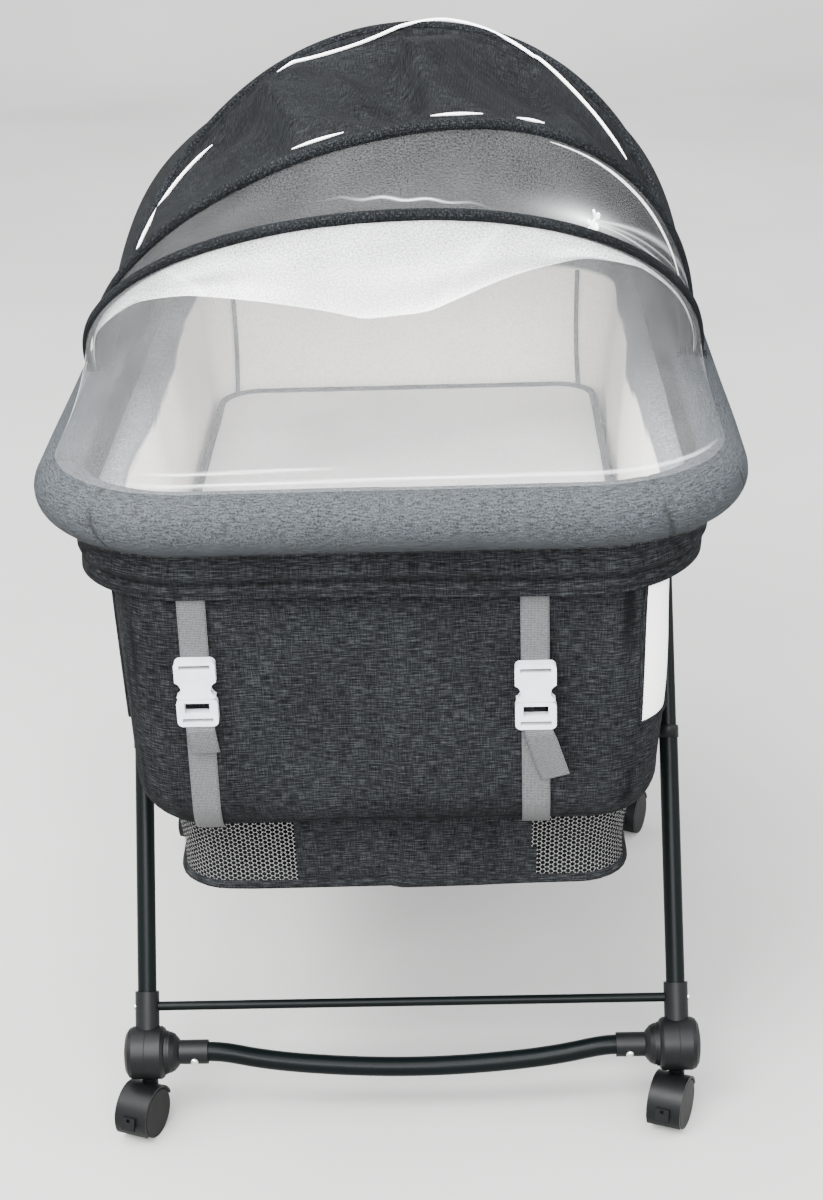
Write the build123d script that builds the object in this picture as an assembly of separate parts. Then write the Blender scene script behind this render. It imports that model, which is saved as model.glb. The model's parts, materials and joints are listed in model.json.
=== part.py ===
"""Bassinet on a folding wheeled stand: padded cradle, hooped canopy, net and storage basket.

Millimetres. +X is the right side seen from the foot end, +Y runs to the head end, +Z is up.
The origin is on the floor under the centre of the cradle.
"""
import math
import os

from build123d import *

os.makedirs("parts", exist_ok=True)

# ---- rim ------------------------------------------------------------------
RIM_HALF_X = 287.5
RIM_HALF_Y = 442.5
RIM_CORNER = 120.0
RIM_Z = 707.0
RIM_TUBE_R = 9.5
RIM_BORE_R = 7.9
ROLL_R = 27.5

# ---- cradle body ----------------------------------------------------------
BODY_TOP = (246.0, 428.0)
BODY_BOTTOM = (236.0, 415.0)
BODY_TOP_Z = 679.0
BODY_BOTTOM_Z = 388.0
BODY_CORNER = 55.0
BODY_EDGE_R = 45.0
CLOTH = 2.5
WINDOW_Z = (494.0, 640.0)
WINDOW_INNER_X = 219.0
LINING_TOP = (239.5, 420.0)
LINING_BOTTOM = (229.0, 408.0)
LINING_Z = (500.0, 690.0)
BOARD_Z = (490.0, 498.0)
MATTRESS_Z = (498.3, 550.0)
MATTRESS_HALF = (223.5, 402.5)
FLAP_HALF = (280.0, 438.0)
FLAP_Z = (632.0, 679.0)

# ---- storage basket -------------------------------------------------------
BASKET_HALF = (214.0, 382.0)
BASKET_Z = (316.0, 387.6)
BASKET_DIP_Y = (170.0, 215.0)
BASKET_DIP_Z = 348.0

# ---- leg frame ------------------------------------------------------------
LEG_X = 265.0
HUB_Y = 300.0
HUB_Z = 82.0
PIN_Z = 652.0
LEG_ANGLE = math.degrees(math.atan2(HUB_Y, PIN_Z - HUB_Z))
LEG_LENGTH = math.hypot(HUB_Y, PIN_Z - HUB_Z)
LOWER_TUBE_R = 9.4
LOWER_BORE_R = 8.35
UPPER_TUBE_R = 8.3
UPPER_BORE_R = 7.0
LOWER_START = 12.0
LOWER_END = 316.0
UPPER_START = 150.0
TONGUE = 70.0
TONGUE_HALF = 9.0
PLATE_HALF = 3.0
TONGUE_GAP = 0.2
TONGUE_T = 3.0
HINGE_PIN_R = 4.0
RUN = 0.05

# ---- corner hubs, bars and buttons ----------------------------------------
HUB_R = 26.3
SLEEVE_R = 12.1
LEG_SLEEVE_END = 61.0
BAR_R = 9.7
BAR_BORE_R = 8.4
BAR_SLEEVE_X = 204.0
BAR_END_X = 251.0
BAR_SAG = 22.0
# distance along the bar and share of the sag
BAR_BOW = [(-204.0, 0), (-165.0, 0.29), (-85.0, 0.82), (0, 1), (85.0, 0.82), (165.0, 0.29), (204.0, 0)]
BRACE_R = 4.6
BRACE_AT = 46.0
BUTTON_R = 3.2
BAR_BUTTON_R = 4.2
BAR_BUTTON_X = 217.5
BAR_BUTTON_DIP = 22.0

# ---- casters --------------------------------------------------------------
WHEEL_R = 25.0
WHEEL_T = 14.0
TRAIL = 18.0
WEB_HALF = 2.6
AXLE_R = 3.0
FENDER_IN = 26.0
FENDER_OUT = 28.5
STEM_R = 4.0
CASTER_YAW = 22.0

# ---- canopy ---------------------------------------------------------------
PIVOT_Y = -90.0
PIVOT_Z = 729.0
PIVOT_PIN_R = 3.5
HOOP_R = 3.5
EYE_R = 8.0
PIVOT_CLEAR = 34.0
# name: half width, height, squareness, sideways skew, forward lean in degrees, and how much the
# lean changes from the middle to the right foot
HOOPS = {
    "hoop_front": (294.5, 327.0, 2.13, 0.0, 50.0, -2.0),
    "hoop_middle": (286.0, 328.0, 2.15, 0.02, 35.5, -11.0),
    "hoop_rear": (277.5, 350.8, 2.06, 0.075, -34.0, 0.0),
}

# ---- straps ---------------------------------------------------------------
WEBBING = (25.0, 1.6)
BUCKLE = (36.0, 9.0, 64.0)
# side: centre X, height of the buckle's lower end
STRAPS = {"left": (-172.0, 513.0), "right": (123.0, 503.0)}


def save(node, solid):
    export_step(solid, f"parts/{node}.step")


def rounded_prism(half, radius, z_low, z_high):
    plan = Plane.XY.offset(z_low) * RectangleRounded(2 * half[0], 2 * half[1], radius)
    return extrude(plan, z_high - z_low)


def tapered_prism(low, high, radii, z_low, z_high):
    bottom = Plane.XY.offset(z_low) * RectangleRounded(2 * low[0], 2 * low[1], radii[0])
    top = Plane.XY.offset(z_high) * RectangleRounded(2 * high[0], 2 * high[1], radii[1])
    return loft([bottom, top])


def block(x, y, z):
    """A box between pairs of limits."""
    centre = Pos((x[0] + x[1]) / 2, (y[0] + y[1]) / 2, (z[0] + z[1]) / 2)
    return centre * Box(x[1] - x[0], y[1] - y[0], z[1] - z[0])


def x_rod(radius, x, y, z):
    """A round bar along X between two limits."""
    return Pos((x[0] + x[1]) / 2, y, z) * Rot(0, 90, 0) * Cylinder(radius, x[1] - x[0])


def rim_path():
    plan = RectangleRounded(2 * RIM_HALF_X, 2 * RIM_HALF_Y, RIM_CORNER)
    return Pos(0, 0, RIM_Z) * plan.wire()


def swept_ring(section, path):
    plane = Plane(origin=path @ 0, z_dir=path % 0)
    return sweep(plane * section, path=path)


def rim_frame():
    path = rim_path()
    ring = swept_ring(Circle(RIM_TUBE_R) - Circle(RIM_BORE_R), path)
    for side in (-1, 1):
        x = sorted((side * 298.7, side * 302.0))
        lug = block(x, (PIVOT_Y - 8, PIVOT_Y + 8), (RIM_Z - 6, PIVOT_Z))
        lug += x_rod(8, x, PIVOT_Y, PIVOT_Z)
        x = sorted((side * 290.0, side * 302.0))
        lug += block(x, (PIVOT_Y - 8, PIVOT_Y + 8), (RIM_Z - 6, RIM_Z + 2)) - x_rod(
            RIM_BORE_R, (-400, 400), 0, 0
        )
        x = sorted((side * 273.5, side * 302.0))
        lug += x_rod(PIVOT_PIN_R, x, PIVOT_Y, PIVOT_Z)
        bore = Pos(side * RIM_HALF_X, PIVOT_Y, RIM_Z) * Rot(90, 0, 0) * Cylinder(RIM_BORE_R, 40)
        ring += lug - bore
    return ring


def rim_pad():
    path = rim_path()
    pad = swept_ring(Circle(ROLL_R) - Circle(RIM_TUBE_R + 0.3), path)
    for side in (-1, 1):
        collar = Pos(side * RIM_HALF_X, 0, RIM_Z) * Rot(90, 0, 0) * Cylinder(14.8, 61.5)
        x = sorted((side * 259.0, side * 290.0))
        pad -= collar + block(x, (-33, 33), (RIM_Z - 40, RIM_Z))
        x = sorted((side * 271.0, side * 303.5))
        pad -= block(x, (PIVOT_Y - 24, PIVOT_Y + 24), (RIM_Z - 8, RIM_Z + 40))
    return pad


def body_outline(inset):
    low = (BODY_BOTTOM[0] - inset, BODY_BOTTOM[1] - inset)
    high = (BODY_TOP[0] - inset, BODY_TOP[1] - inset)
    z_low = BODY_BOTTOM_Z + inset
    z_high = BODY_TOP_Z + (1 if inset else 0)
    corner = BODY_CORNER - inset
    tub = tapered_prism(low, high, (corner, corner), z_low, z_high)
    return fillet(tub.faces().sort_by(Axis.Z)[0].edges(), BODY_EDGE_R - inset)


def window_zone(side):
    x = sorted((side * WINDOW_INNER_X, side * 300.0))
    return block(x, (-500, 500), WINDOW_Z)


def body_parts():
    shell = body_outline(0) - body_outline(CLOTH)
    left = shell & window_zone(-1)
    right = shell & window_zone(1)
    return shell - window_zone(-1) - window_zone(1), left, right


def lining():
    outer = tapered_prism(LINING_BOTTOM, LINING_TOP, (50, 100), *LINING_Z)
    low = (LINING_BOTTOM[0] - 2, LINING_BOTTOM[1] - 2)
    high = (LINING_TOP[0] - 2, LINING_TOP[1] - 2)
    return outer - tapered_prism(low, high, (48, 98), *LINING_Z)


def skirt_flap():
    inner = (FLAP_HALF[0] - 2, FLAP_HALF[1] - 2)
    return rounded_prism(FLAP_HALF, 105, *FLAP_Z) - rounded_prism(inner, 103, *FLAP_Z)


def mattress():
    pad = rounded_prism(MATTRESS_HALF, 48, *MATTRESS_Z)
    pad = fillet(pad.faces().sort_by(Axis.Z)[-1].edges(), 16)
    return fillet(pad.faces().sort_by(Axis.Z)[0].edges(), 10)


def mattress_board():
    board = rounded_prism((224.0, 403.0), 48, *BOARD_Z)
    for y in (-260, 0, 260):
        board += block((-150, 150), (y - 12, y + 12), (BODY_BOTTOM_Z + CLOTH, BOARD_Z[0]))
    return board


def storage_basket():
    low = (BASKET_HALF[0] - 6, BASKET_HALF[1] - 6)
    outer = tapered_prism(low, BASKET_HALF, (45, 45), *BASKET_Z)
    inner_low = (low[0] - 2, low[1] - 2)
    inner_high = (BASKET_HALF[0] - 2, BASKET_HALF[1] - 2)
    basket = outer - tapered_prism(inner_low, inner_high, (43, 43), BASKET_Z[0] + 2, BASKET_Z[1])
    return basket - basket_dip()


def basket_dip():
    """The long sides are lower in the middle, so that a hand can reach in."""
    low, high = BASKET_DIP_Y
    top = BASKET_Z[1] + 10
    outline = [(-high, top), (-high, BASKET_Z[1]), (-low, BASKET_DIP_Z)]
    outline += [(low, BASKET_DIP_Z), (high, BASKET_Z[1]), (high, top)]
    face = make_face(Polyline(*[(0, y, z) for y, z in outline], close=True))
    return extrude(face, 300, dir=(1, 0, 0), both=True)


def leg_place(side, end):
    """Frame of one leg: origin at the hub centre, Z up the leg, X to the world's +X."""
    return Pos(side * LEG_X, end * HUB_Y, HUB_Z) * Rot(end * LEG_ANGLE, 0, 0)


def along(radius, low, high):
    return Pos(0, 0, (low + high) / 2) * Cylinder(radius, high - low)


def leg_lower(side, end):
    tube = along(LOWER_TUBE_R, LOWER_START, LOWER_END) - along(LOWER_BORE_R, 0, 400)
    hole = Pos(side * 9, 0, BRACE_AT) * Rot(0, 90, 0) * Cylinder(BUTTON_R + RUN, 10)
    return leg_place(side, end) * (tube - hole)


def leg_upper(side, end):
    """Inner tube whose pressed top end is a flat tongue beside the bracket plate."""
    top = LEG_LENGTH - TONGUE
    tube = along(UPPER_TUBE_R, UPPER_START, top) - along(UPPER_BORE_R, UPPER_START, top - 20)
    layer = side * end * -1
    x = sorted((layer * (PLATE_HALF + TONGUE_GAP), layer * (PLATE_HALF + TONGUE_GAP + TONGUE_T)))
    tongue = block(x, (-TONGUE_HALF, TONGUE_HALF), (top - 0.5, LEG_LENGTH))
    tongue += x_rod(TONGUE_HALF, x, 0, LEG_LENGTH)
    tongue -= x_rod(HINGE_PIN_R + RUN, (-20, 20), 0, LEG_LENGTH)
    return leg_place(side, end) * (tube + tongue)


def side_bracket(side):
    """Moulded hinge bracket clamped on the rim tube, with a stop for each leg."""
    plate_x = sorted((side * (LEG_X - PLATE_HALF), side * (LEG_X + PLATE_HALF)))
    plate = block(plate_x, (-30, 30), (PIN_Z - 26, RIM_Z - 5))
    web_x = sorted((side * (LEG_X - PLATE_HALF), side * RIM_HALF_X))
    web = block(web_x, (-30, 30), (RIM_Z - 13, RIM_Z - 5))
    collar = Pos(side * RIM_HALF_X, 0, RIM_Z) * Rot(90, 0, 0) * Cylinder(14.2, 60)
    tube = Pos(side * RIM_HALF_X, 0, RIM_Z) * Rot(90, 0, 0) * Cylinder(RIM_TUBE_R, 80)
    bracket = plate + web + collar - tube
    for end in (-1, 1):
        layer = -end
        x = sorted((LEG_X * side + side * layer * PLATE_HALF * 0.5, side * LEG_X + side * layer * 6.2))
        angle = math.radians(LEG_ANGLE)
        y = end * (30 * math.sin(angle) + 12.2 * math.cos(angle))
        z = PIN_Z - 30 * math.cos(angle) + 12.2 * math.sin(angle)
        bracket += x_rod(3, x, y, z)
    return bracket - x_rod(HINGE_PIN_R, (-400, 400), 0, PIN_Z)


def hinge_pins():
    pins = []
    for side in (-1, 1):
        x = sorted((side * (LEG_X - 8.5), side * (LEG_X + 8.5)))
        pin = x_rod(HINGE_PIN_R, x, 0, PIN_Z)
        for offset in (-8.0, 8.0):
            head = sorted((side * LEG_X + offset - 1.3, side * LEG_X + offset + 1.3))
            pin += x_rod(7, head, 0, PIN_Z)
        pins.append(pin)
    return Compound(children=pins)


def corner_hub(side, end):
    """Domed housing on the X axis, with a leg sleeve, a bar socket and a caster bore."""
    centre = side * LEG_X
    profile = [
        (22.5, 0), (22.5, 12), (21.0, 20), (18.0, 24.5), (14.0, HUB_R), (-14.5, HUB_R),
        (-17.0, 24.5), (-18.2, 22.5), (-18.2, 21.7), (-20.5, 21.7), (-20.5, 20.6),
        (-23.0, 20.6), (-27.5, 18.5), (-31.0, 14.5), (-32.5, SLEEVE_R),
        (BAR_SLEEVE_X - LEG_X, SLEEVE_R), (BAR_SLEEVE_X - LEG_X, 0),
    ]
    points = [(side * x, 0, r) for x, r in profile]
    outline = make_face(Polyline(*points, close=True))
    housing = revolve(outline, Axis.X)
    housing = Pos(centre, end * HUB_Y, HUB_Z) * housing
    sleeve = leg_place(side, end) * along(SLEEVE_R, 0, LEG_SLEEVE_END)
    hub = housing + sleeve
    hub -= leg_place(side, end) * along(LOWER_TUBE_R, LOWER_START, 90)
    bar_x = sorted((side * (BAR_SLEEVE_X - 20), side * BAR_END_X))
    hub -= x_rod(BAR_R, bar_x, end * HUB_Y, HUB_Z)
    hub -= Pos(centre, end * HUB_Y, 64) * Cylinder(STEM_R + RUN, 28)
    place = leg_place(side, end)
    hub -= place * (Pos(side * 12, 0, BRACE_AT) * Rot(0, 90, 0) * Cylinder(BUTTON_R + RUN, 12))
    rod_end = sorted((-side * (12.1 + 20), -side * 8.0))
    hub -= place * x_rod(BRACE_R, rod_end, 0, BRACE_AT)
    hub -= bar_button_place(side, end) * Pos(0, 0, 10) * Cylinder(BAR_BUTTON_R + RUN, 12)
    return hub


def bar_button_place(side, end):
    """Frame of a bar button: origin on the bar's axis, Z along the button."""
    tilt = 90 + BAR_BUTTON_DIP
    return Pos(side * BAR_BUTTON_X, end * HUB_Y, HUB_Z) * Rot(-end * tilt, 0, 0)


def domed_button(radius, low, high):
    body = along(radius, low, high)
    return fillet(body.faces().sort_by(Axis.Z)[-1].edges(), radius * 0.45)


def leg_button(side, end):
    button = Rot(0, 90 * side, 0) * domed_button(BUTTON_R, 5.5, 13.6)
    return leg_place(side, end) * Pos(0, 0, BRACE_AT) * button


def bar_buttons(end):
    button = domed_button(BAR_BUTTON_R, 5.0, 13.9)
    return Compound(children=[bar_button_place(side, end) * button for side in (-1, 1)])


def cross_bar(end):
    """Tube with straight ends in the hub sockets and a shallow downward bow between them."""
    y = end * HUB_Y
    left = Line((-BAR_END_X, y, HUB_Z), (-BAR_SLEEVE_X, y, HUB_Z))
    points = [(x, y, HUB_Z - BAR_SAG * drop) for x, drop in BAR_BOW]
    bow = Spline(*points, tangents=[(1, 0, 0), (1, 0, 0)])
    right = Line((BAR_SLEEVE_X, y, HUB_Z), (BAR_END_X, y, HUB_Z))
    path = Wire([left, bow, right])
    bar = swept_ring(Circle(BAR_R) - Circle(BAR_BORE_R), path)
    for side in (-1, 1):
        bar -= bar_button_place(side, end) * Pos(0, 0, 8) * Cylinder(BAR_BUTTON_R + RUN, 12)
    return bar


def brace_rod(end):
    angle = math.radians(LEG_ANGLE)
    y = end * (HUB_Y - BRACE_AT * math.sin(angle))
    z = HUB_Z + BRACE_AT * math.cos(angle)
    x = LEG_X - LOWER_TUBE_R - 0.4
    rod = x_rod(BRACE_R, (-x, x), y, z)
    for side in (-1, 1):
        rod -= leg_place(side, end) * along(LOWER_TUBE_R, 0, 100)
    return rod


def caster_place(side, end):
    """Frame of a caster: origin on the floor under the stem, wheels trailing towards -Y."""
    return Pos(side * LEG_X, end * HUB_Y, 0) * Rot(0, 0, -CASTER_YAW)


def fan(low, high, reach):
    """A sector about the wheel axle, angles in the YZ plane from +Y towards +Z."""
    points = [(0, -TRAIL, WHEEL_R)]
    for step in range(9):
        angle = math.radians(low + (high - low) * step / 8)
        points.append((0, -TRAIL + reach * math.cos(angle), WHEEL_R + reach * math.sin(angle)))
    face = make_face(Polyline(*points, close=True))
    return extrude(face, 30, dir=(1, 0, 0), both=True)


def caster_hood(side, end):
    width = WEB_HALF + 0.6 + WHEEL_T
    shell = x_rod(FENDER_OUT, (-width, width), -TRAIL, WHEEL_R)
    shell -= x_rod(FENDER_IN, (-width, width), -TRAIL, WHEEL_R)
    shell = shell & fan(18, 208, 45)
    web = x_rod(FENDER_IN + 0.5, (-WEB_HALF, WEB_HALF), -TRAIL, WHEEL_R) & fan(18, 208, 45)
    web += x_rod(8, (-WEB_HALF, WEB_HALF), -TRAIL, WHEEL_R)
    boss = Pos(0, 0, 45.2) * Cylinder(8, 18.6) - x_rod(FENDER_IN, (-30, 30), -TRAIL, WHEEL_R)
    collar = Pos(0, 0, 54.9) * Cylinder(6, 0.8)
    stem = Pos(0, 0, 65.5) * Cylinder(STEM_R, 22)
    hood = shell + web + boss + collar + stem
    hood -= x_rod(AXLE_R + RUN, (-30, 30), -TRAIL, WHEEL_R)
    return caster_place(side, end) * hood


def twin_wheels(side, end):
    pair = x_rod(AXLE_R, (-WEB_HALF - 6, WEB_HALF + 6), -TRAIL, WHEEL_R)
    for face in (-1, 1):
        x = sorted((face * (WEB_HALF + 0.6), face * (WEB_HALF + 0.6 + WHEEL_T)))
        disc = x_rod(WHEEL_R, x, -TRAIL, WHEEL_R)
        disc = fillet(disc.edges().filter_by(GeomType.CIRCLE), 1.2)
        pair += disc
    return caster_place(side, end) * pair


def brake_tab(side, end):
    """Small lever on the trailing face of the hood, hinged along its top edge."""
    plate = block((-7, 7), (-FENDER_OUT - 3.2, -FENDER_OUT - 0.5), (-11.5, 1.5))
    plate -= block((-1.8, 1.8), (-FENDER_OUT - 5, -FENDER_OUT + 2), (-3.4, 0.2))
    plate = Rot(-16, 0, 0) * plate
    return caster_place(side, end) * Pos(0, -TRAIL, WHEEL_R) * plate


def arch_points(half, height, squareness, skew, count, foot):
    """Points of a leaning half super-ellipse in the XZ plane, from left foot to right foot."""
    first = math.asin((foot / height) ** (squareness / 2)) if foot else 0.0
    points = []
    for step in range(count + 1):
        angle = first + (math.pi - 2 * first) * step / count
        x = -math.copysign(abs(math.cos(angle)) ** (2 / squareness), math.cos(angle)) * half
        z = abs(math.sin(angle)) ** (2 / squareness) * height
        points.append((x + skew * z, 0, z))
    return points


def canopy_hoop(half, height, squareness, skew, lean, twist):
    points = []
    for x, _, z in arch_points(half, height, squareness, skew, 18, 6.5):
        angle = math.radians(lean + twist * (x - skew * z) / half)
        points.append((x, -z * math.sin(angle), z * math.cos(angle)))
    path = Wire([Spline(*points)])
    hoop = swept_ring(Circle(HOOP_R), path)
    for side in (-1, 1):
        eye = sorted((side * (half - 2), side * (half + 2)))
        hoop += x_rod(EYE_R, eye, 0, 0)
    hoop -= x_rod(PIVOT_PIN_R + RUN, (-400, 400), 0, 0)
    return Pos(0, PIVOT_Y, PIVOT_Z) * hoop


def band(half, height, squareness, skew, lean, thick):
    """A thin closed strip that follows one arch position of the cloth."""
    inner = Spline(*arch_points(half, height, squareness, skew, 16, 0))
    outer = Spline(*arch_points(half + thick, height + thick, squareness, skew, 16, 0))
    left = Line(inner @ 0, outer @ 0)
    right = Line(inner @ 1, outer @ 1)
    face = make_face(Wire([inner, right, outer, left]))
    return Pos(0, PIVOT_Y, PIVOT_Z) * Rot(lean, 0, 0) * face


def cloth_shell(sections, thick):
    shell = loft([band(*section, thick) for section in sections], ruled=True)
    shell = shell & block((-400, 400), (-600, 600), (RIM_Z + ROLL_R + 1.7, 1300))
    return shell - x_rod(PIVOT_CLEAR, (-400, 400), PIVOT_Y, PIVOT_Z)


def canopy_fabric():
    return cloth_shell(
        [
            (291.5, 339.0, 2.2, 0.02, 39.0),
            (290.5, 338.0, 2.2, 0.03, 22.0),
            (287.5, 318.0, 2.15, 0.05, -6.0),
            (283.5, 358.0, 2.06, 0.075, -34.5),
            (287.0, 415.0, 2.6, 0.04, -56.0),
            (288.0, 490.0, 3.6, 0.0, -74.0),
            (290.0, 533.0, 5.0, 0.0, -86.5),
        ],
        1.5,
    )


def mosquito_net():
    return cloth_shell(
        [
            (293.5, 341.5, 2.2, 0.02, 39.8),
            (301.0, 334.0, 2.13, 0.0, 50.5),
            (303.0, 350.0, 2.6, 0.0, 66.0),
            (306.0, 367.0, 3.4, 0.0, 79.0),
            (308.0, 378.0, 4.4, 0.0, 87.0),
        ],
        1.0,
    )


def face_y(z):
    """Y of the body's front face at a height."""
    share = (z - BODY_BOTTOM_Z) / (BODY_TOP_Z - BODY_BOTTOM_Z)
    return -(BODY_BOTTOM[1] + share * (BODY_TOP[1] - BODY_BOTTOM[1]))


def strip(points, x):
    """Webbing of constant thickness along a path of (y, z) points."""
    width, thick = WEBBING
    near, far = [], []
    for index, (y, z) in enumerate(points):
        before = points[max(index - 1, 0)]
        after = points[min(index + 1, len(points) - 1)]
        length = math.hypot(after[0] - before[0], after[1] - before[1])
        normal = ((after[1] - before[1]) / length, -(after[0] - before[0]) / length)
        near.append((x - width / 2, y + normal[0] * thick / 2, z + normal[1] * thick / 2))
        far.append((x - width / 2, y - normal[0] * thick / 2, z - normal[1] * thick / 2))
    face = make_face(Polyline(*near, *reversed(far), close=True))
    return extrude(face, width, dir=(1, 0, 0))


def strap_upper(x, base):
    slot = base + BUCKLE[2] - 6
    return strip([(face_y(674) - 1.4, 674), (face_y(slot) - 1.4, slot)], x)


def strap_lower(x, base):
    slot = base + 6
    points = [(face_y(slot) - 1.4, slot)]
    centre = face_y(BODY_BOTTOM_Z + BODY_EDGE_R) + BODY_EDGE_R
    for turn in (0, 15, 30, 45, 60, 68):
        angle = math.radians(turn)
        reach = BODY_EDGE_R + 1.9
        y = centre - reach * math.cos(angle)
        points.append((y, BODY_BOTTOM_Z + BODY_EDGE_R - reach * math.sin(angle)))
    return strip(points, x)


def buckle_frame(x, base):
    return Pos(x, face_y(base + 32) - 7.2, base) * Rot(2.7, 0, 0)


def buckle_female(x, base):
    width, thick, height = BUCKLE
    body = block((-width / 2, width / 2), (-thick / 2, thick / 2), (27, height))
    body = fillet(body.edges().filter_by(Axis.Y), 5)
    body -= block((-13.5, 13.5), (-10, 10), (height - 8, height - 4))
    body -= block((-14, 14), (-2.6, 2.6), (20, height - 12))
    for side in (-1, 1):
        body -= Pos(side * (width / 2 + 3), 0, 36) * Rot(90, 0, 0) * Cylinder(8, 30)
    return buckle_frame(x, base) * body


def buckle_male(x, base):
    width, thick, height = BUCKLE
    body = block((-width / 2, width / 2), (-thick / 2, thick / 2), (0, 26.6))
    body = fillet(body.edges().filter_by(Axis.Y), 5)
    body -= block((-13.5, 13.5), (-10, 10), (4, 8))
    body -= block((-11, 11), (-10, 10), (13, 23))
    body += block((-4, 4), (-2, 2), (22, 48))
    for side in (-1, 1):
        body += block(sorted((side * 8.5, side * 12.5)), (-2, 2), (25, 46))
    return buckle_frame(x, base) * body


SIDES = {"left": -1, "right": 1}
ENDS = {"front": -1, "rear": 1}

shell, window_left, window_right = body_parts()
save("rim_frame", rim_frame())
save("rim_pad", rim_pad())
save("body_shell", shell)
save("mesh_window_left", window_left)
save("mesh_window_right", window_right)
save("lining", lining())
save("skirt_flap", skirt_flap())
save("mattress", mattress())
save("mattress_board", mattress_board())
save("storage_basket", storage_basket())
save("hinge_pins", hinge_pins())
save("canopy_fabric", canopy_fabric())
save("mosquito_net", mosquito_net())
for hoop, shape in HOOPS.items():
    save(hoop, canopy_hoop(*shape))
for name, side in SIDES.items():
    save(f"side_bracket_{name}", side_bracket(side))
    x, base = STRAPS[name]
    save(f"strap_upper_{name}", strap_upper(x, base))
    save(f"strap_lower_{name}", strap_lower(x, base))
    save(f"buckle_female_{name}", buckle_female(x, base))
    save(f"buckle_male_{name}", buckle_male(x, base))
for place, end in ENDS.items():
    save(f"cross_bar_{place}", cross_bar(end))
    save(f"brace_rod_{place}", brace_rod(end))
    save(f"bar_buttons_{place}", bar_buttons(end))
    for name, side in SIDES.items():
        save(f"leg_upper_{place}_{name}", leg_upper(side, end))
        save(f"leg_lower_{place}_{name}", leg_lower(side, end))
        save(f"corner_hub_{place}_{name}", corner_hub(side, end))
        save(f"leg_button_{place}_{name}", leg_button(side, end))
        save(f"caster_hood_{place}_{name}", caster_hood(side, end))
        save(f"twin_wheels_{place}_{name}", twin_wheels(side, end))
        save(f"brake_tab_{place}_{name}", brake_tab(side, end))
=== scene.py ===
"""Looks of the bassinet on its folding wheeled stand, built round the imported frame."""

import json
import math

import bmesh
import bpy
import numpy as np
from mathutils import Matrix, Vector


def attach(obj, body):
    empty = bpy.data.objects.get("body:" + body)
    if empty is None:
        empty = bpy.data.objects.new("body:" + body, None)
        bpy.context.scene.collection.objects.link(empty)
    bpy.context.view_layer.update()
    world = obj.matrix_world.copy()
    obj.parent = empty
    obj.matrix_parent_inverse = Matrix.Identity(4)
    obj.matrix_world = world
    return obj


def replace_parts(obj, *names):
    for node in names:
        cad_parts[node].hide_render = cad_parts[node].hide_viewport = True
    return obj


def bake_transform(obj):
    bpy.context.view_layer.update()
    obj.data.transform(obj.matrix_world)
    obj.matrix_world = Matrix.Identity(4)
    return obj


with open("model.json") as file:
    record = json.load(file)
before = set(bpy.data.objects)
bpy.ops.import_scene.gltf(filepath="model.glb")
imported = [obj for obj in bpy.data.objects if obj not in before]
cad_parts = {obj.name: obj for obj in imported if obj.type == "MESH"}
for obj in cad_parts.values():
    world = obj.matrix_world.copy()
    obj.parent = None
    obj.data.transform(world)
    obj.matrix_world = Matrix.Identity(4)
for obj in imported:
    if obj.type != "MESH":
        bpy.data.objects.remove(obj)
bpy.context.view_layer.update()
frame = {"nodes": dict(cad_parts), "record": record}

# ---- the frame's own sizes, in metres --------------------------------------
RIM_HALF = (0.2875, 0.4425)
RIM_CORNER = 0.120
RIM_Z = 0.707
ROLL_R = 0.0273
BODY_TOP = (0.246, 0.428)
BODY_BOTTOM = (0.236, 0.415)
BODY_Z = (0.388, 0.679)
BODY_CORNER = 0.055
BODY_EDGE = 0.045
WINDOW_Z = (0.494, 0.640)
WINDOW_X = {-1: 0.2300, 1: 0.2145}
WINDOW_FRONT = {-1: -0.372, 1: -0.440}
LINING_TOP = (0.2395, 0.420)
LINING_BOTTOM = (0.229, 0.408)
LINING_Z = (0.500, 0.690)
MATTRESS_HALF = (0.2235, 0.4025)
MATTRESS_Z = (0.4983, 0.550)
FLAP_HALF = (0.2795, 0.4375)
FLAP_Z = (0.632, 0.679)
BASKET_HALF = (0.214, 0.382)
BASKET_Z = (0.316, 0.3895)
BASKET_DIP = (0.170, 0.215, 0.348)
LEG_X = 0.265
HUB_Y = 0.300
HUB_Z = 0.082
LEG_ANGLE = math.atan2(0.300, 0.570)
PIVOT = (-0.090, 0.729)
# half width, height, squareness, skew, forward lean in degrees, and its change to the right foot
HOOP_FRONT = (0.2945, 0.327, 2.13, 0.0, 50.0, -2.0)
HOOP_MIDDLE = (0.286, 0.328, 2.15, 0.02, 35.5, -11.0)
HOOP_REAR = (0.2775, 0.3508, 2.06, 0.075, -34.0, 0.0)
SIDES = (("left", -1), ("right", 1))
STRAPS = {"left": (-0.172, 0.513), "right": (0.123, 0.503)}

TURN = 2 * math.pi


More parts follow.
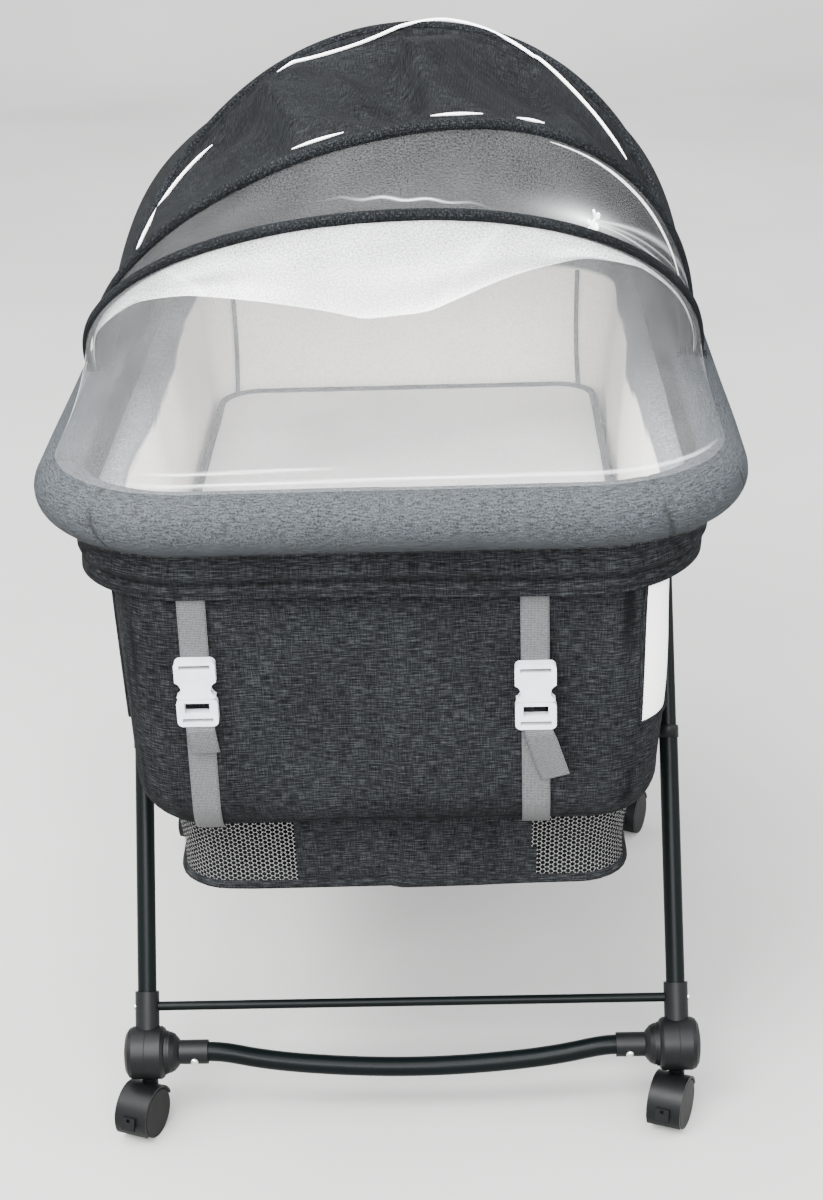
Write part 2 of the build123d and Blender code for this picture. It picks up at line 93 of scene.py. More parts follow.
# ---- mesh helpers -----------------------------------------------------------
def grid(name, points, uv, wrap_u=False, wrap_v=False, thick=0.0):
    """A sheet or tube from a grid of points, with UVs in metres."""
    nu, nv = points.shape[:2]
    cells_u = nu if wrap_u else nu - 1
    cells_v = nv if wrap_v else nv - 1
    faces = []
    corners = []
    for i in range(cells_u):
        for j in range(cells_v):
            ring = [(i, j), (i + 1, j), (i + 1, j + 1), (i, j + 1)]
            faces.append([(a % nu) * nv + b % nv for a, b in ring])
            corners += [uv[a, b] for a, b in ring]
    mesh = bpy.data.meshes.new(name)
    mesh.from_pydata(points.reshape(-1, 3).tolist(), [], faces)
    layer = mesh.uv_layers.new(name="UVMap")
    layer.data.foreach_set("uv", np.array(corners, np.float32).ravel())
    mesh.shade_smooth()
    piece = bpy.data.objects.new(name, mesh)
    bpy.context.scene.collection.objects.link(piece)
    if thick:
        solid = piece.modifiers.new("thickness", "SOLIDIFY")
        solid.thickness = thick
        solid.offset = 0.0
        bake_modifiers(piece)
    return piece


def bake_modifiers(piece):
    graph = bpy.context.evaluated_depsgraph_get()
    mesh = bpy.data.meshes.new_from_object(piece.evaluated_get(graph))
    piece.modifiers.clear()
    piece.data = mesh


def plain_uv(nu, nv, width, height):
    u, v = np.meshgrid(np.linspace(0, width, nu), np.linspace(0, height, nv), indexing="ij")
    return np.stack([u, v], -1)


def waves(x, y, seed, count=7, low=1.0, high=6.0):
    """Smooth repeatable unevenness of about unit size over a plane."""
    rng = np.random.default_rng(seed)
    total = np.zeros(np.broadcast(x, y).shape)
    for _ in range(count):
        turn = rng.uniform(0, TURN)
        pace = rng.uniform(low, high) * TURN
        total += np.sin(pace * (x * math.cos(turn) + y * math.sin(turn)) + rng.uniform(0, TURN))
    return total / math.sqrt(count)


def ring_uv(run, total, levels):
    """UVs in metres for a wall that goes once round a loop."""
    return np.stack(np.meshgrid(np.append(run, total), levels, indexing="ij"), -1)


def sheet_uv(u, v):
    return np.stack(np.broadcast_arrays(u, v), -1)


def between(first, last, share):
    return np.array(first) + share * (np.array(last) - np.array(first))


def distances_along(path):
    return np.concatenate([[0], np.cumsum(np.linalg.norm(np.diff(path, axis=0), axis=1))])


def disc(name, ring, steps, sag):
    """A flat floor as rings that shrink from an outline to the middle, sagging a little."""
    points = ring[:, None, :] * (1 - steps)[None, :, None]
    points[:, :, 2] = ring[0, 2] - sag * np.sin(steps * math.pi / 2)[None, :]
    points[:, -1, :2] = ring[:, :2] * 0.004
    uv = np.concatenate([points[..., :2], points[:1, :, :2]], 0)
    return grid(name, points, uv, wrap_u=True)


def smoothstep(x, low, high):
    t = np.clip((x - low) / (high - low), 0, 1)
    return t * t * (3 - 2 * t)


def hump(x, centre, width):
    return np.exp(-(((x - centre) / width) ** 2))


def loop(half, radius, count):
    """Points, outward normals and distances round a rounded rectangle, from mid-front rightwards."""
    hx, hy = half
    straight_x, straight_y = 2 * (hx - radius), 2 * (hy - radius)
    arc = radius * math.pi / 2
    total = 2 * straight_x + 2 * straight_y + 4 * arc
    runs = [
        ("line", straight_x / 2, (0, -hy), (1, 0)),
        ("arc", arc, (hx - radius, -hy + radius), -90),
        ("line", straight_y, (hx, -hy + radius), (0, 1)),
        ("arc", arc, (hx - radius, hy - radius), 0),
        ("line", straight_x, (hx - radius, hy), (-1, 0)),
        ("arc", arc, (-hx + radius, hy - radius), 90),
        ("line", straight_y, (-hx, hy - radius), (0, -1)),
        ("arc", arc, (-hx + radius, -hy + radius), 180),
        ("line", straight_x / 2, (-hx + radius, -hy), (1, 0)),
    ]
    distances = np.arange(count) * total / count if np.isscalar(count) else np.asarray(count) * total
    points, normals = [], []
    for distance in distances:
        rest = distance % total
        for kind, length, start, way in runs:
            if rest <= length or (kind, length, start) == runs[-1][:3]:
                break
            rest -= length
        if kind == "line":
            points.append((start[0] + way[0] * rest, start[1] + way[1] * rest))
            normals.append((way[1], -way[0]))
        else:
            angle = math.radians(way) + rest / radius
            normals.append((math.cos(angle), math.sin(angle)))
            points.append((start[0] + radius * math.cos(angle), start[1] + radius * math.sin(angle)))
    return np.array(points), np.array(normals), distances, total


def tube(name, path, radius, sides=12, closed=False, uneven=0.0, seed=0):
    """A round cord-like piece along a list of points."""
    path = np.asarray(path, float)
    count = len(path)
    if closed:
        tangent = np.roll(path, -1, 0) - np.roll(path, 1, 0)
    else:
        tangent = np.gradient(path, axis=0)
    tangent /= np.linalg.norm(tangent, axis=1)[:, None]
    normal = np.cross(tangent[0], (0.31, 0.17, 0.93))
    normals = []
    for way in tangent:
        normal = normal - way * (normal @ way)
        normal = normal / np.linalg.norm(normal)
        normals.append(normal)
    normals = np.array(normals)
    binormals = np.cross(tangent, normals)
    angle = np.arange(sides) * TURN / sides
    reach = np.full((count, sides), radius) if np.isscalar(radius) else np.repeat(
        np.asarray(radius)[:, None], sides, 1
    )
    run = distances_along(path)
    if uneven:
        reach = reach * (1 + uneven * waves(run[:, None], angle[None, :] / TURN * 0.03, seed, 7, 6, 30))
    ring = (
        normals[:, None, :] * np.cos(angle)[None, :, None]
        + binormals[:, None, :] * np.sin(angle)[None, :, None]
    )
    points = path[:, None, :] + ring * reach[:, :, None]
    rows = count + 1 if closed else count
    run = np.append(run, run[-1] + np.linalg.norm(path[0] - path[-1])) if closed else run
    around = np.linspace(0, TURN * np.mean(reach), sides + 1)
    uv = np.stack(np.meshgrid(run[:rows], around, indexing="ij"), -1)
    piece = grid(name, points, uv, wrap_u=closed, wrap_v=True)
    if not closed:
        cap_ends(piece, count, sides)
    return piece


def cap_ends(piece, count, sides):
    mesh = piece.data
    points = [v.co[:] for v in mesh.vertices]
    faces = [list(p.vertices) for p in mesh.polygons]
    corners = np.zeros(len(mesh.loops) * 2, np.float32)
    mesh.uv_layers[0].data.foreach_get("uv", corners)
    faces.append(list(range(sides))[::-1])
    faces.append(list(range((count - 1) * sides, count * sides)))
    capped = bpy.data.meshes.new(mesh.name)
    capped.from_pydata(points, [], faces)
    layer = capped.uv_layers.new(name="UVMap")
    corners = np.concatenate([corners, np.zeros(4 * sides, np.float32)])
    layer.data.foreach_set("uv", corners)
    capped.shade_smooth()
    piece.data = capped


def join(name, pieces):
    """One object from several, so that a repeated detail is one named piece."""
    with bpy.context.temp_override(
        active_object=pieces[0], selected_editable_objects=pieces, selected_objects=pieces
    ):
        bpy.ops.object.join()
    pieces[0].name = name
    return pieces[0]


def blend_with(piece):
    """Bakes the piece's placement into its points."""
    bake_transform(piece)


def lean_of(piece):
    """Forward lean about the hoops' pivot of each point of a piece, in degrees."""
    points = np.array([v.co for v in piece.data.vertices])
    return np.degrees(np.arctan2(PIVOT[0] - points[:, 1], points[:, 2] - PIVOT[1]))


# ---- materials --------------------------------------------------------------
class Paint:
    """A node material with short calls for the nodes the looks use."""

    def __init__(self, name, roughness=0.5, metallic=0.0):
        self.material = bpy.data.materials.new(name)
        self.material.use_nodes = True
        self.tree = self.material.node_tree
        self.shader = self.tree.nodes["Principled BSDF"]
        self.shader.inputs["Roughness"].default_value = roughness
        self.shader.inputs["Metallic"].default_value = metallic

    def node(self, kind, values=(), **settings):
        made = self.tree.nodes.new("ShaderNode" + kind)
        for key, value in settings.items():
            setattr(made, key, value)
        for key, value in dict(values).items():
            self.put(made.inputs[key], value)
        return made

    def put(self, socket, value):
        if isinstance(value, bpy.types.NodeSocket):
            self.tree.links.new(value, socket)
        else:
            socket.default_value = value

    def where(self, kind="UV", scale=(1, 1, 1)):
        place = self.node("TexCoord")
        return self.node("Mapping", {"Vector": place.outputs[kind], "Scale": scale}).outputs[0]

    def noise(self, vector, detail=2.0, scale=1.0, rough=0.5):
        values = {"Vector": vector, "Scale": scale, "Detail": detail, "Roughness": rough}
        return self.node("TexNoise", values).outputs["Fac"]

    def bands(self, direction, scale, distortion):
        values = {"Vector": self.where(), "Scale": scale, "Distortion": distortion}
        return self.node("TexWave", values, bands_direction=direction).outputs["Fac"]

    def maths(self, operation, first, second=0.5, third=0.5):
        made = self.node("Math", {0: first, 1: second, 2: third}, operation=operation)
        return made.outputs[0]

    def marked(self, name):
        """A number stored per point on the piece."""
        return self.node("Attribute", attribute_name=name).outputs["Fac"]

    def ramp(self, factor, stops):
        made = self.node("ValToRGB", {"Fac": factor})
        elements = made.color_ramp.elements
        elements[0].position, elements[0].color = stops[0][0], (*stops[0][1], 1)
        elements[1].position, elements[1].color = stops[-1][0], (*stops[-1][1], 1)
        for position, colour in stops[1:-1]:
            elements.new(position).color = (*colour, 1)
        return made.outputs["Color"]

    def mix(self, factor, first, second):
        made = self.node("Mix", data_type="RGBA")
        self.put(made.inputs["Factor"], factor)
        self.put(made.inputs["A"], first)
        self.put(made.inputs["B"], second)
        return made.outputs["Result"]

    def set(self, name, value):
        self.put(self.shader.inputs[name], value)
        return self

    def bump(self, height, distance, strength=1.0):
        values = {"Height": height, "Distance": distance, "Strength": strength}
        before = self.shader.inputs["Normal"].links
        if before:
            values["Normal"] = before[0].from_socket
        return self.set("Normal", self.node("Bump", values).outputs["Normal"])


def grey(level, warm=0.0):
    """Linear colour from an 8-bit grey, tinted a little warm or cool."""
    def linear(value):
        value = max(value, 0) / 255
        return value / 12.92 if value <= 0.04045 else ((value + 0.055) / 1.055) ** 2.4

    return (linear(level + warm), linear(level), linear(level - warm))


def shade(colour, share):
    return (*[c * share for c in colour], 1)


def heather(name, dark, middle, light, thread=0.0009, streak=0.011, level=0.5, bump=0.00035):
    """Woven melange cloth: light and dark slubs along both thread ways over a plain weave."""
    paint = Paint(name, roughness=0.92)
    across = paint.noise(paint.where(scale=(1 / streak, 1 / thread, 1)), 3, 1.0, 0.6)
    down = paint.noise(paint.where(scale=(1 / thread, 1 / streak, 1)), 3, 1.0, 0.6)
    both = paint.maths("MULTIPLY_ADD", across, level, paint.maths("MULTIPLY", down, 1 - level))
    cloud = paint.noise(paint.where(scale=(9, 9, 9)), 3)
    tone = paint.maths("MULTIPLY_ADD", paint.maths("SUBTRACT", cloud, 0.5), 0.12, both)
    colour = paint.ramp(tone, [(0.38, dark), (0.50, middle), (0.62, light)])
    # the seam mark darkens sewn seams, and on the flap it also paints shade in the tuck's crease
    paint.set("Base Color", paint.mix(paint.marked("seam"), colour, shade(dark, 0.35)))
    weave_u, weave_v = (paint.bands(way, 2 / (thread * 2.6) / TURN, 0.4) for way in "XY")
    height = paint.maths("ADD", paint.maths("MULTIPLY", weave_u, weave_v), both)
    paint.bump(height, bump)
    paint.set("Specular IOR Level", 0.05)
    return paint.material


def knit(name, dark, light, stitch=0.0016):
    """Fine knitted cloth with a peppered two-tone yarn."""
    paint = Paint(name, roughness=0.95)
    pepper = paint.noise(paint.where(scale=(1 / stitch, 1 / stitch, 1)), 3, 1.0, 0.7)
    streak = paint.noise(paint.where(scale=(130, 620, 1)), 2, 1.0, 0.5)
    tone = paint.maths("MULTIPLY_ADD", streak, 0.40, paint.maths("MULTIPLY", pepper, 0.60))
    colour = paint.ramp(tone, [(0.40, dark), (0.60, light)])
    colour = paint.mix(paint.marked("seam"), colour, shade(dark, 0.45))
    # inner face darker: the dark cuff cloth plus painted shade
    colour = paint.mix(paint.marked("inner"), colour, shade(dark, 0.42))
    paint.set("Base Color", colour)
    paint.bump(pepper, 0.0004)
    paint.set("Specular IOR Level", 0.05)
    return paint.material


def white_cloth(name, light, dark, cell=0.0022, bump=0.0003, rough=0.85, glow=0.0):
    """Off-white knit with a fine pebbled grid."""
    paint = Paint(name, roughness=rough)
    place = paint.where(scale=(1 / cell, 1 / cell, 1 / cell))
    cells = paint.node("TexVoronoi", {"Vector": place, "Scale": 1.0}, feature="F1").outputs["Distance"]
    cloud = paint.noise(paint.where(scale=(14, 14, 14)), 3)
    tone = paint.maths("MULTIPLY_ADD", cells, 0.6, paint.maths("MULTIPLY", cloud, 0.4))
    colour = paint.ramp(tone, [(0.2, light), (0.75, dark)])
    paint.set("Base Color", paint.mix(paint.marked("seam"), colour, shade(dark, 0.55)))
    paint.bump(cells, bump)
    paint.set("Subsurface Weight", glow)
    return paint.material


def hex_mesh(name, colour, period, opening=0.0, back=None):
    """Open net with round holes in a honeycomb: the yarn is solid and the holes are clear."""
    paint = Paint(name, roughness=0.7)
    split = paint.node("SeparateXYZ", {0: paint.where(scale=(TURN / period,) * 3)})
    x, y = split.outputs[0], split.outputs[1]
    lean_a = paint.maths("MULTIPLY_ADD", y, 0.866, paint.maths("MULTIPLY", x, 0.5))
    lean_b = paint.maths("MULTIPLY_ADD", y, 0.866, paint.maths("MULTIPLY", x, -0.5))
    total = paint.maths("ADD", paint.maths("COSINE", x), paint.maths("COSINE", lean_a))
    total = paint.maths("ADD", total, paint.maths("COSINE", lean_b))
    hole = paint.node("MapRange", {"Value": total, "From Min": opening - 0.35, "From Max": opening + 0.35})
    speck = paint.noise(paint.where(scale=(900, 900, 1)), 1)
    tint = paint.ramp(speck, [(0.3, tuple(c * 0.82 for c in colour)), (0.7, colour)])
    if back is None:
        paint.set("Base Color", tint)
        paint.set("Alpha", paint.maths("SUBTRACT", 1.0, hole.outputs[0]))
    else:
        paint.set("Base Color", paint.mix(hole.outputs[0], tint, (*back, 1)))
    paint.bump(paint.maths("SUBTRACT", 1.0, hole.outputs[0]), 0.0004)
    return paint.material


def tulle(name, opacity, colour=(0.86, 0.87, 0.88)):
    """Insect net too fine to see thread by thread: mostly clear, a little cloudy, brighter in its creases and
    along painted highlight lines.
    """
    paint = Paint(name, roughness=0.55)
    cloud = paint.noise(paint.where(scale=(22, 22, 22)), 3)
    fine = paint.noise(paint.where(scale=(620, 620, 620)), 1)
    crease_and_glint = paint.marked("crease_and_glint")
    amount = paint.maths("MULTIPLY_ADD", cloud, opacity * 0.8, opacity * 0.6)
    amount = paint.maths("MULTIPLY_ADD", paint.maths("SUBTRACT", fine, 0.5), opacity * 2.5, amount)
    # the crease mark raises the opacity: gathered net in its creases, and painted highlights (glints)
    amount = paint.maths("MULTIPLY_ADD", crease_and_glint, 0.65, amount)
    paint.set("Alpha", paint.node("Clamp", {0: amount}).outputs[0])
    paint.set("Base Color", paint.ramp(fine, [(0.3, tuple(c * 0.9 for c in colour)), (0.7, colour)]))
    paint.set("Specular IOR Level", 0.15)
    return paint.material


def webbing(name, dark, light):
    """Ribbed polyester tape: a herringbone of fine ribs across its width."""
    paint = Paint(name, roughness=0.55)
    ribs = paint.bands("Y", 260.0, 0.3)
    rows = paint.bands("X", 190.0, 0.6)
    height = paint.maths("MULTIPLY", ribs, rows)
    speck = paint.noise(paint.where(scale=(900, 300, 1)), 2)
    tone = paint.maths("MULTIPLY_ADD", speck, 0.5, paint.maths("MULTIPLY", height, 0.5))
    paint.set("Base Color", paint.ramp(tone, [(0.2, dark), (0.7, light)]))
    paint.bump(height, 0.0004)
    return paint.material


def moulded(name, colour, roughness=0.42, grain=0.00006):
    """Satin moulded plastic with a fine spark-eroded grain and faint handling marks."""
    paint = Paint(name, roughness=roughness)
    fine = paint.noise(paint.where("Object", (1800,) * 3), 2)
    broad = paint.noise(paint.where("Object", (38,) * 3), 4)
    paint.set("Base Color", paint.ramp(broad, [(0.35, tuple(c * 0.8 for c in colour)), (0.7, colour)]))
    rough = paint.node("MapRange", {"Value": broad, "To Min": roughness - 0.07, "To Max": roughness + 0.12})
    paint.set("Roughness", rough.outputs[0])
    paint.set("Specular IOR Level", 0.12)
    paint.bump(fine, grain)
    return paint.material


def powder_coat(name, colour):
    """Thin orange-peel powder coat on steel tube."""
    paint = Paint(name, roughness=0.36)
    peel = paint.noise(paint.where("Object", (420,) * 3), 2)
    broad = paint.noise(paint.where("Object", (9,) * 3), 4)
    paint.set("Base Color", paint.ramp(broad, [(0.3, tuple(c * 0.86 for c in colour)), (0.7, colour)]))
    rough = paint.node("MapRange", {"Value": broad, "To Min": 0.30, "To Max": 0.44})
    paint.set("Roughness", rough.outputs[0])
    paint.set("Specular IOR Level", 0.06)
    paint.bump(peel, 0.00008)
    return paint.material


def bright_steel(name):
    paint = Paint(name, roughness=0.25, metallic=1.0)
    broad = paint.noise(paint.where("Object", (240,) * 3), 3)
    paint.set("Base Color", paint.ramp(broad, [(0.3, (0.5, 0.5, 0.49)), (0.7, (0.72, 0.72, 0.70))]))
    rough = paint.node("MapRange", {"Value": broad, "To Min": 0.18, "To Max": 0.38})
    paint.set("Roughness", rough.outputs[0])
    return paint.material


def milky_plastic(name):
    """Natural white acetal: bright, a little see-through at its edges."""
    paint = Paint(name, roughness=0.32)
    broad = paint.noise(paint.where("Object", (60,) * 3), 3)
    paint.set("Base Color", paint.ramp(broad, [(0.3, (0.38, 0.40, 0.42)), (0.7, (0.46, 0.47, 0.49))]))
    paint.set("Subsurface Weight", 0.35)
    paint.set("Subsurface Radius", (0.004, 0.004, 0.0045))
    paint.set("Subsurface Scale", 0.5)
    paint.bump(paint.noise(paint.where("Object", (1500,) * 3), 1), 0.00004)
    return paint.material


LINEN = heather("dark_linen", grey(4), grey(18, -1), grey(39, -2), 0.0011, 0.013, 0.66)
LINEN_DEEP = heather("canopy_linen", grey(3), grey(12, -1), grey(31, -2), 0.0011, 0.013, 0.6)
SLEEVE = heather("hoop_sleeve_cloth", grey(4), grey(11, -1), grey(38, -3), 0.0010, 0.003)
ROLL_KNIT = knit("roll_knit", grey(5), grey(52, -4), 0.0017)
MATTRESS_CLOTH = white_cloth("mattress_knit", grey(251, 2), grey(238, 3), 0.0035, 0.0006, glow=0.1)
PIPING_GREY = heather("grey_piping", grey(50, -2), grey(78, -3), grey(104, -3), 0.0008, 0.002)
WINDOW_MESH = hex_mesh("window_mesh", grey(242, 2), 0.0026, 1.2, back=grey(205, 4))
BASKET_MESH = hex_mesh("basket_mesh", grey(92, 1), 0.0040, -1.0)
NET = tulle("insect_net", 0.045)
NET_UPPER = tulle("insect_net_upper", 0.028)
NET_ROLL = tulle("insect_net_gathered", 0.012)
NET_VEIL = tulle("insect_net_doubled", 0.60, (0.93, 0.94, 0.95))
NET_HEM = white_cloth("net_hem", grey(246), grey(226), 0.0015, 0.0002)
WEBBING = webbing("silver_webbing", grey(30, -1), grey(86, -1))
PLASTIC = moulded("dark_moulded_plastic", grey(9, -1))
WHEEL_PLASTIC = moulded("wheel_plastic", grey(7), 0.5)
COAT = powder_coat("green_grey_powder_coat", (0.0012, 0.0021, 0.0022))
STEEL = bright_steel("bright_steel")
ACETAL = milky_plastic("milky_acetal")
BOARD = moulded("plain_board", (0.42, 0.33, 0.22), 0.8, 0.0002)


def dress(piece, material):
    piece.data.materials.clear()
    piece.data.materials.append(material)
    return piece


def mark(piece, name, values):
    """Stores a number per point for the materials, such as how much of a seam it is."""
    layer = piece.data.attributes.get(name) or piece.data.attributes.new(name, "FLOAT", "POINT")
    layer.data.foreach_set("value", np.asarray(values, np.float32).ravel())


# ---- CAD nodes that keep their shape ----------------------------------------
def dress_frame():
    finishes = {"frame_tube": COAT, "dark_plastic": PLASTIC, "wheel_plastic": WHEEL_PLASTIC}
    finishes |= {"pin_steel": STEEL, "buckle_plastic": ACETAL, "board": BOARD}
    slots = {s["node"]: s["material_slot"] for s in frame["record"]["subparts"]}
    for node, piece in frame["nodes"].items():
        material = finishes.get(slots[node])
        if material is None:
            continue
        piece.data.materials.clear()
        piece.data.materials.append(material)
        edge = {"buckle_plastic": 0.0012, "dark_plastic": 0.0007}.get(slots[node])
        if edge and not node.startswith("side_bracket"):
            bevel = piece.modifiers.new("edge", "BEVEL")
            bevel.width = edge
            bevel.segments = 2
            bevel.limit_method = "ANGLE"
            bevel.angle_limit = math.radians(40)


# ---- padded rim roll ----------------------------------------------------------
SEAM_SPOTS = (0.085, 0.118)


def roll_fractions(total):
    """Even steps round the rim with fine ones at each seam."""
    spots = np.arange(0, 1, 1 / 300)
    fine = []
    for centre in seam_fractions():
        fine.append(centre + np.linspace(-0.008, 0.008, 17) / total)
    every = np.unique(np.round(np.concatenate([spots, *fine]) % 1.0, 6))
    return every


def seam_fractions():
    front = [s for s in SEAM_SPOTS] + [1 - s for s in SEAM_SPOTS]
    back = [0.5 - s for s in SEAM_SPOTS] + [0.5 + s for s in SEAM_SPOTS]
    return front + back


def make_roll():
    total = loop(RIM_HALF, RIM_CORNER, 8)[3]
    shares = roll_fractions(total)
    centre, out, run, total = loop(RIM_HALF, RIM_CORNER, shares)
    sides = 44
    angle = np.arange(sides) * TURN / sides
    s, a = run[:, None], angle[None, :]
    reach = ROLL_R * (1 - 0.006 + 0.008 * waves(s, a / TURN * 0.17, 3, 9, 2, 9))
    groove = np.zeros((len(run), sides))
    for spot in seam_fractions():
        lean = 0.010 * np.cos(a - 0.9)
        near = (s - spot * total + lean + total / 2) % total - total / 2
        groove = np.maximum(groove, np.exp(-((near / 0.0016) ** 2)))
    reach = reach - 0.0015 * groove
    points = np.empty((len(run), sides, 3))
    for axis in (0, 1):
        points[:, :, axis] = centre[:, axis, None] + out[:, axis, None] * reach * np.cos(a)
    points[:, :, 2] = RIM_Z + reach * np.sin(a)
    uv = ring_uv(run, total, np.linspace(0, TURN * ROLL_R, sides + 1))
    roll = grid("rim_roll", points, uv, wrap_u=True, wrap_v=True)
    mark(roll, "seam", groove * 0.9)
    # the roll's inner face is darkened: partly the dark cuff cloth, partly painted shade where it faces into
    # the bassinet
    inward_cuff_and_shade = np.clip(-np.cos(a) - 0.15 * np.sin(a), 0, 1) * np.ones((len(run), 1))
    mark(roll, "inner", smoothstep(inward_cuff_and_shade, 0.50, 0.66))
    dress(roll, ROLL_KNIT)
    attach(roll, "cradle")
    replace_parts(roll, "rim_pad")


# ---- outer body ---------------------------------------------------------------
def body_section(z):
    """Half sizes and corner radius of the body's outline at a height."""
    share = (z - BODY_Z[0]) / (BODY_Z[1] - BODY_Z[0])
    half = between(BODY_BOTTOM, BODY_TOP, share)
    inset = 0.0
    centre = BODY_Z[0] + BODY_EDGE
    if z < centre:
        rise = (centre - z) / BODY_EDGE
        inset = BODY_EDGE * (1 - math.sqrt(max(1 - rise * rise, 0)))
    return half - inset, max(BODY_CORNER - inset * 0.75, 0.012)


def body_levels():
    turns = np.radians(np.linspace(90, 0, 12))
    low = BODY_Z[0] + BODY_EDGE * (1 - np.sin(turns))
    straight = np.linspace(BODY_Z[0] + BODY_EDGE, BODY_Z[1], 46)[1:]
    return np.concatenate([low, straight])


def make_body():
    count = 420
    levels = body_levels()
    hem_z = BODY_Z[0] + 0.0125
    levels = np.unique(np.concatenate([levels, WINDOW_Z, hem_z + np.linspace(-0.003, 0.003, 9)]))
    rings = []
    for z in levels:
        half, radius = body_section(z)
        place, out, run, total = loop(tuple(half), radius, count)
        rings.append((place, out, run / total))
    share = rings[0][2]
    total = loop(BODY_TOP, BODY_CORNER, 8)[3]
    grid_z = levels[None, :]
    s = (share * total)[:, None]
    swell = 0.0016 * waves(s, grid_z, 11, 9, 1.5, 7) + 0.0012 * waves(s * 2.2, grid_z * 0.5, 12, 6, 2, 9)
    flat = smoothstep(levels, BODY_Z[0], BODY_Z[0] + 0.03)
    swell = np.clip(swell, -0.0028, 0.0020) * flat[None, :]
    hem = hump(levels, hem_z, 0.0012)
    points = np.empty((count, len(levels), 3))
    seam = np.zeros((count, len(levels)))
    for j, (place, out, _) in enumerate(rings):
        points[:, j, :2] = place + out * (swell[:, j, None] - 0.0010 * hem[j] - 0.0004)
        points[:, j, 2] = levels[j]
        line = np.where(place[:, 0] > 0, WINDOW_X[1] - 0.0060, 0.2335)
        from_middle = np.abs(place[:, 0])
        side_seam = hump(from_middle, line, 0.0013) + hump(from_middle, line - 0.006, 0.0013)
        seam[:, j] = np.maximum(0.75 * side_seam * (np.abs(place[:, 1]) > 0.34), 0.8 * hem[j])
    bottom = disc("body_underside", points[:, 0, :], np.linspace(0, 1, 14), 0.0010)
    uv_u = np.append(share, 1.0) * total
    uv_v = np.concatenate([[0], np.cumsum(np.hypot(np.diff(levels), 0.0001))])
    uv = np.stack(np.meshgrid(uv_u, uv_v, indexing="ij"), -1)
    shell = grid("body_cloth", points, uv, wrap_u=True)
    mark(shell, "seam", seam)
    split_windows(shell, points)
    dress(shell, LINEN)
    dress(bottom, LINEN)
    for piece in (shell, bottom):
        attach(piece, "cradle")
    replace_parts(shell, "body_shell")


def split_windows(shell, points):
    """Cuts the side windows out of the cloth and makes the mesh panels that fill them."""
    mesh = shell.data
    rows = points.shape[1] - 1
    column = np.arange(len(mesh.polygons)) // rows
    heights = np.array([p.center.z for p in mesh.polygons])
    between = (heights > WINDOW_Z[0]) & (heights < WINDOW_Z[1])
    cut = np.zeros(len(mesh.polygons), bool)
    for name, side in SIDES:
        columns = window_columns(points, side)
        picked = between & columns[column]
        cut |= picked
        panel = bpy.data.objects.new(f"window_{name}", mesh.copy())
        bpy.context.scene.collection.objects.link(panel)
        drop_faces(panel, ~picked)
        dress(panel, WINDOW_MESH)
        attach(panel, "cradle")
        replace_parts(panel, f"mesh_window_{name}")
        window_binding(points, columns, name)
    drop_faces(shell, cut)


def window_columns(points, side):
    """Which upright columns of the body's faces lie in one side's window."""
    x, y = points[:, points.shape[1] // 2, :2].T
    inside = (side * x > WINDOW_X[side]) & (y > WINDOW_FRONT[side])
    return inside & np.roll(inside, -1)


def drop_faces(piece, chosen):
    work = bmesh.new()
    work.from_mesh(piece.data)
    work.faces.ensure_lookup_table()
    bmesh.ops.delete(work, geom=[work.faces[i] for i in np.nonzero(chosen)[0]], context="FACES")
    work.to_mesh(piece.data)
    work.free()


def window_binding(points, columns, name):
    """Narrow tape sewn round the window's edge."""
    first, last = np.nonzero(columns)[0][[0, -1]] + (0, 1)
    low, high = (np.abs(points[0, :, 2] - z).argmin() for z in WINDOW_Z)
    out = loop(BODY_TOP, BODY_CORNER, len(points))[1]
    proud = points.copy()
    proud[:, :, :2] += out[:, None, :] * 0.0006
    bottom, top = proud[first:last + 1, low], proud[last:first:-1, high]
    rear, front = proud[last, low:high], proud[first, high:low:-1]
    edge = np.concatenate([bottom, rear, top, front])[::2]
    tape = tube(f"window_binding_{name}", edge, 0.0020, 8, closed=True)
    dress(tape, LINEN)
    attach(tape, "cradle")


# ---- flap under the roll --------------------------------------------------------
def make_flap():
    count, rows = 460, 26
    place, out, run, total = loop(FLAP_HALF, 0.105, count)
    s = run[:, None]
    down = np.linspace(0, 1, rows)[None, :]
    front = smoothstep(-place[:, 1], 0.20, 0.43)[:, None]
    drape = 0.0035 * np.sin(s * TURN * 2.3 + 0.6) + 0.0022 * waves(s, down * 0.05, 21, 8, 2, 10)
    drape = drape * down
    fold = 0.10 * np.sin(s * 5.1 + 1.1)
    tuck = 0.0042 * hump(down, 0.40 + fold, 0.13) * front
    tuck -= 0.0030 * hump(down, 0.62 + fold, 0.07) * front
    edge = 0.0018 * waves(s, s * 0, 22, 6, 1.5, 5)
    high, low = FLAP_Z[1], FLAP_Z[0] + 0.0005
    points = np.empty((count, rows, 3))
    push = drape + tuck - 0.002
    for axis in (0, 1):
        points[:, :, axis] = place[:, axis, None] + out[:, axis, None] * push
    points[:, :, 2] = high + (low + edge - high) * down
    uv = ring_uv(run, total, np.linspace(0.0, high - low, rows))
    flap = grid("skirt_flap_cloth", points, uv, wrap_u=True)
    # the seam mark darkens a line near the lower edge and paints shade along the tuck's crease at the front
    seam = np.maximum(0.6 * hump(down, 0.90, 0.03), 0.5 * hump(down, 0.62 + fold, 0.035) * front)
    mark(flap, "seam", seam * np.ones((count, 1)))
    dress(flap, LINEN)
    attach(flap, "cradle")
    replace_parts(flap, "skirt_flap")


# ---- lining and mattress ----------------------------------------------------------
# how the lining's top edge turns out to the roll: half sizes, corner radius and height
LINING_TURN = (
    ((0.2622, 0.4172), 0.0946, 0.6985),
    ((0.2550, 0.4178), 0.0970, 0.6960),
    ((0.2450, 0.4186), 0.0990, 0.6930),
)


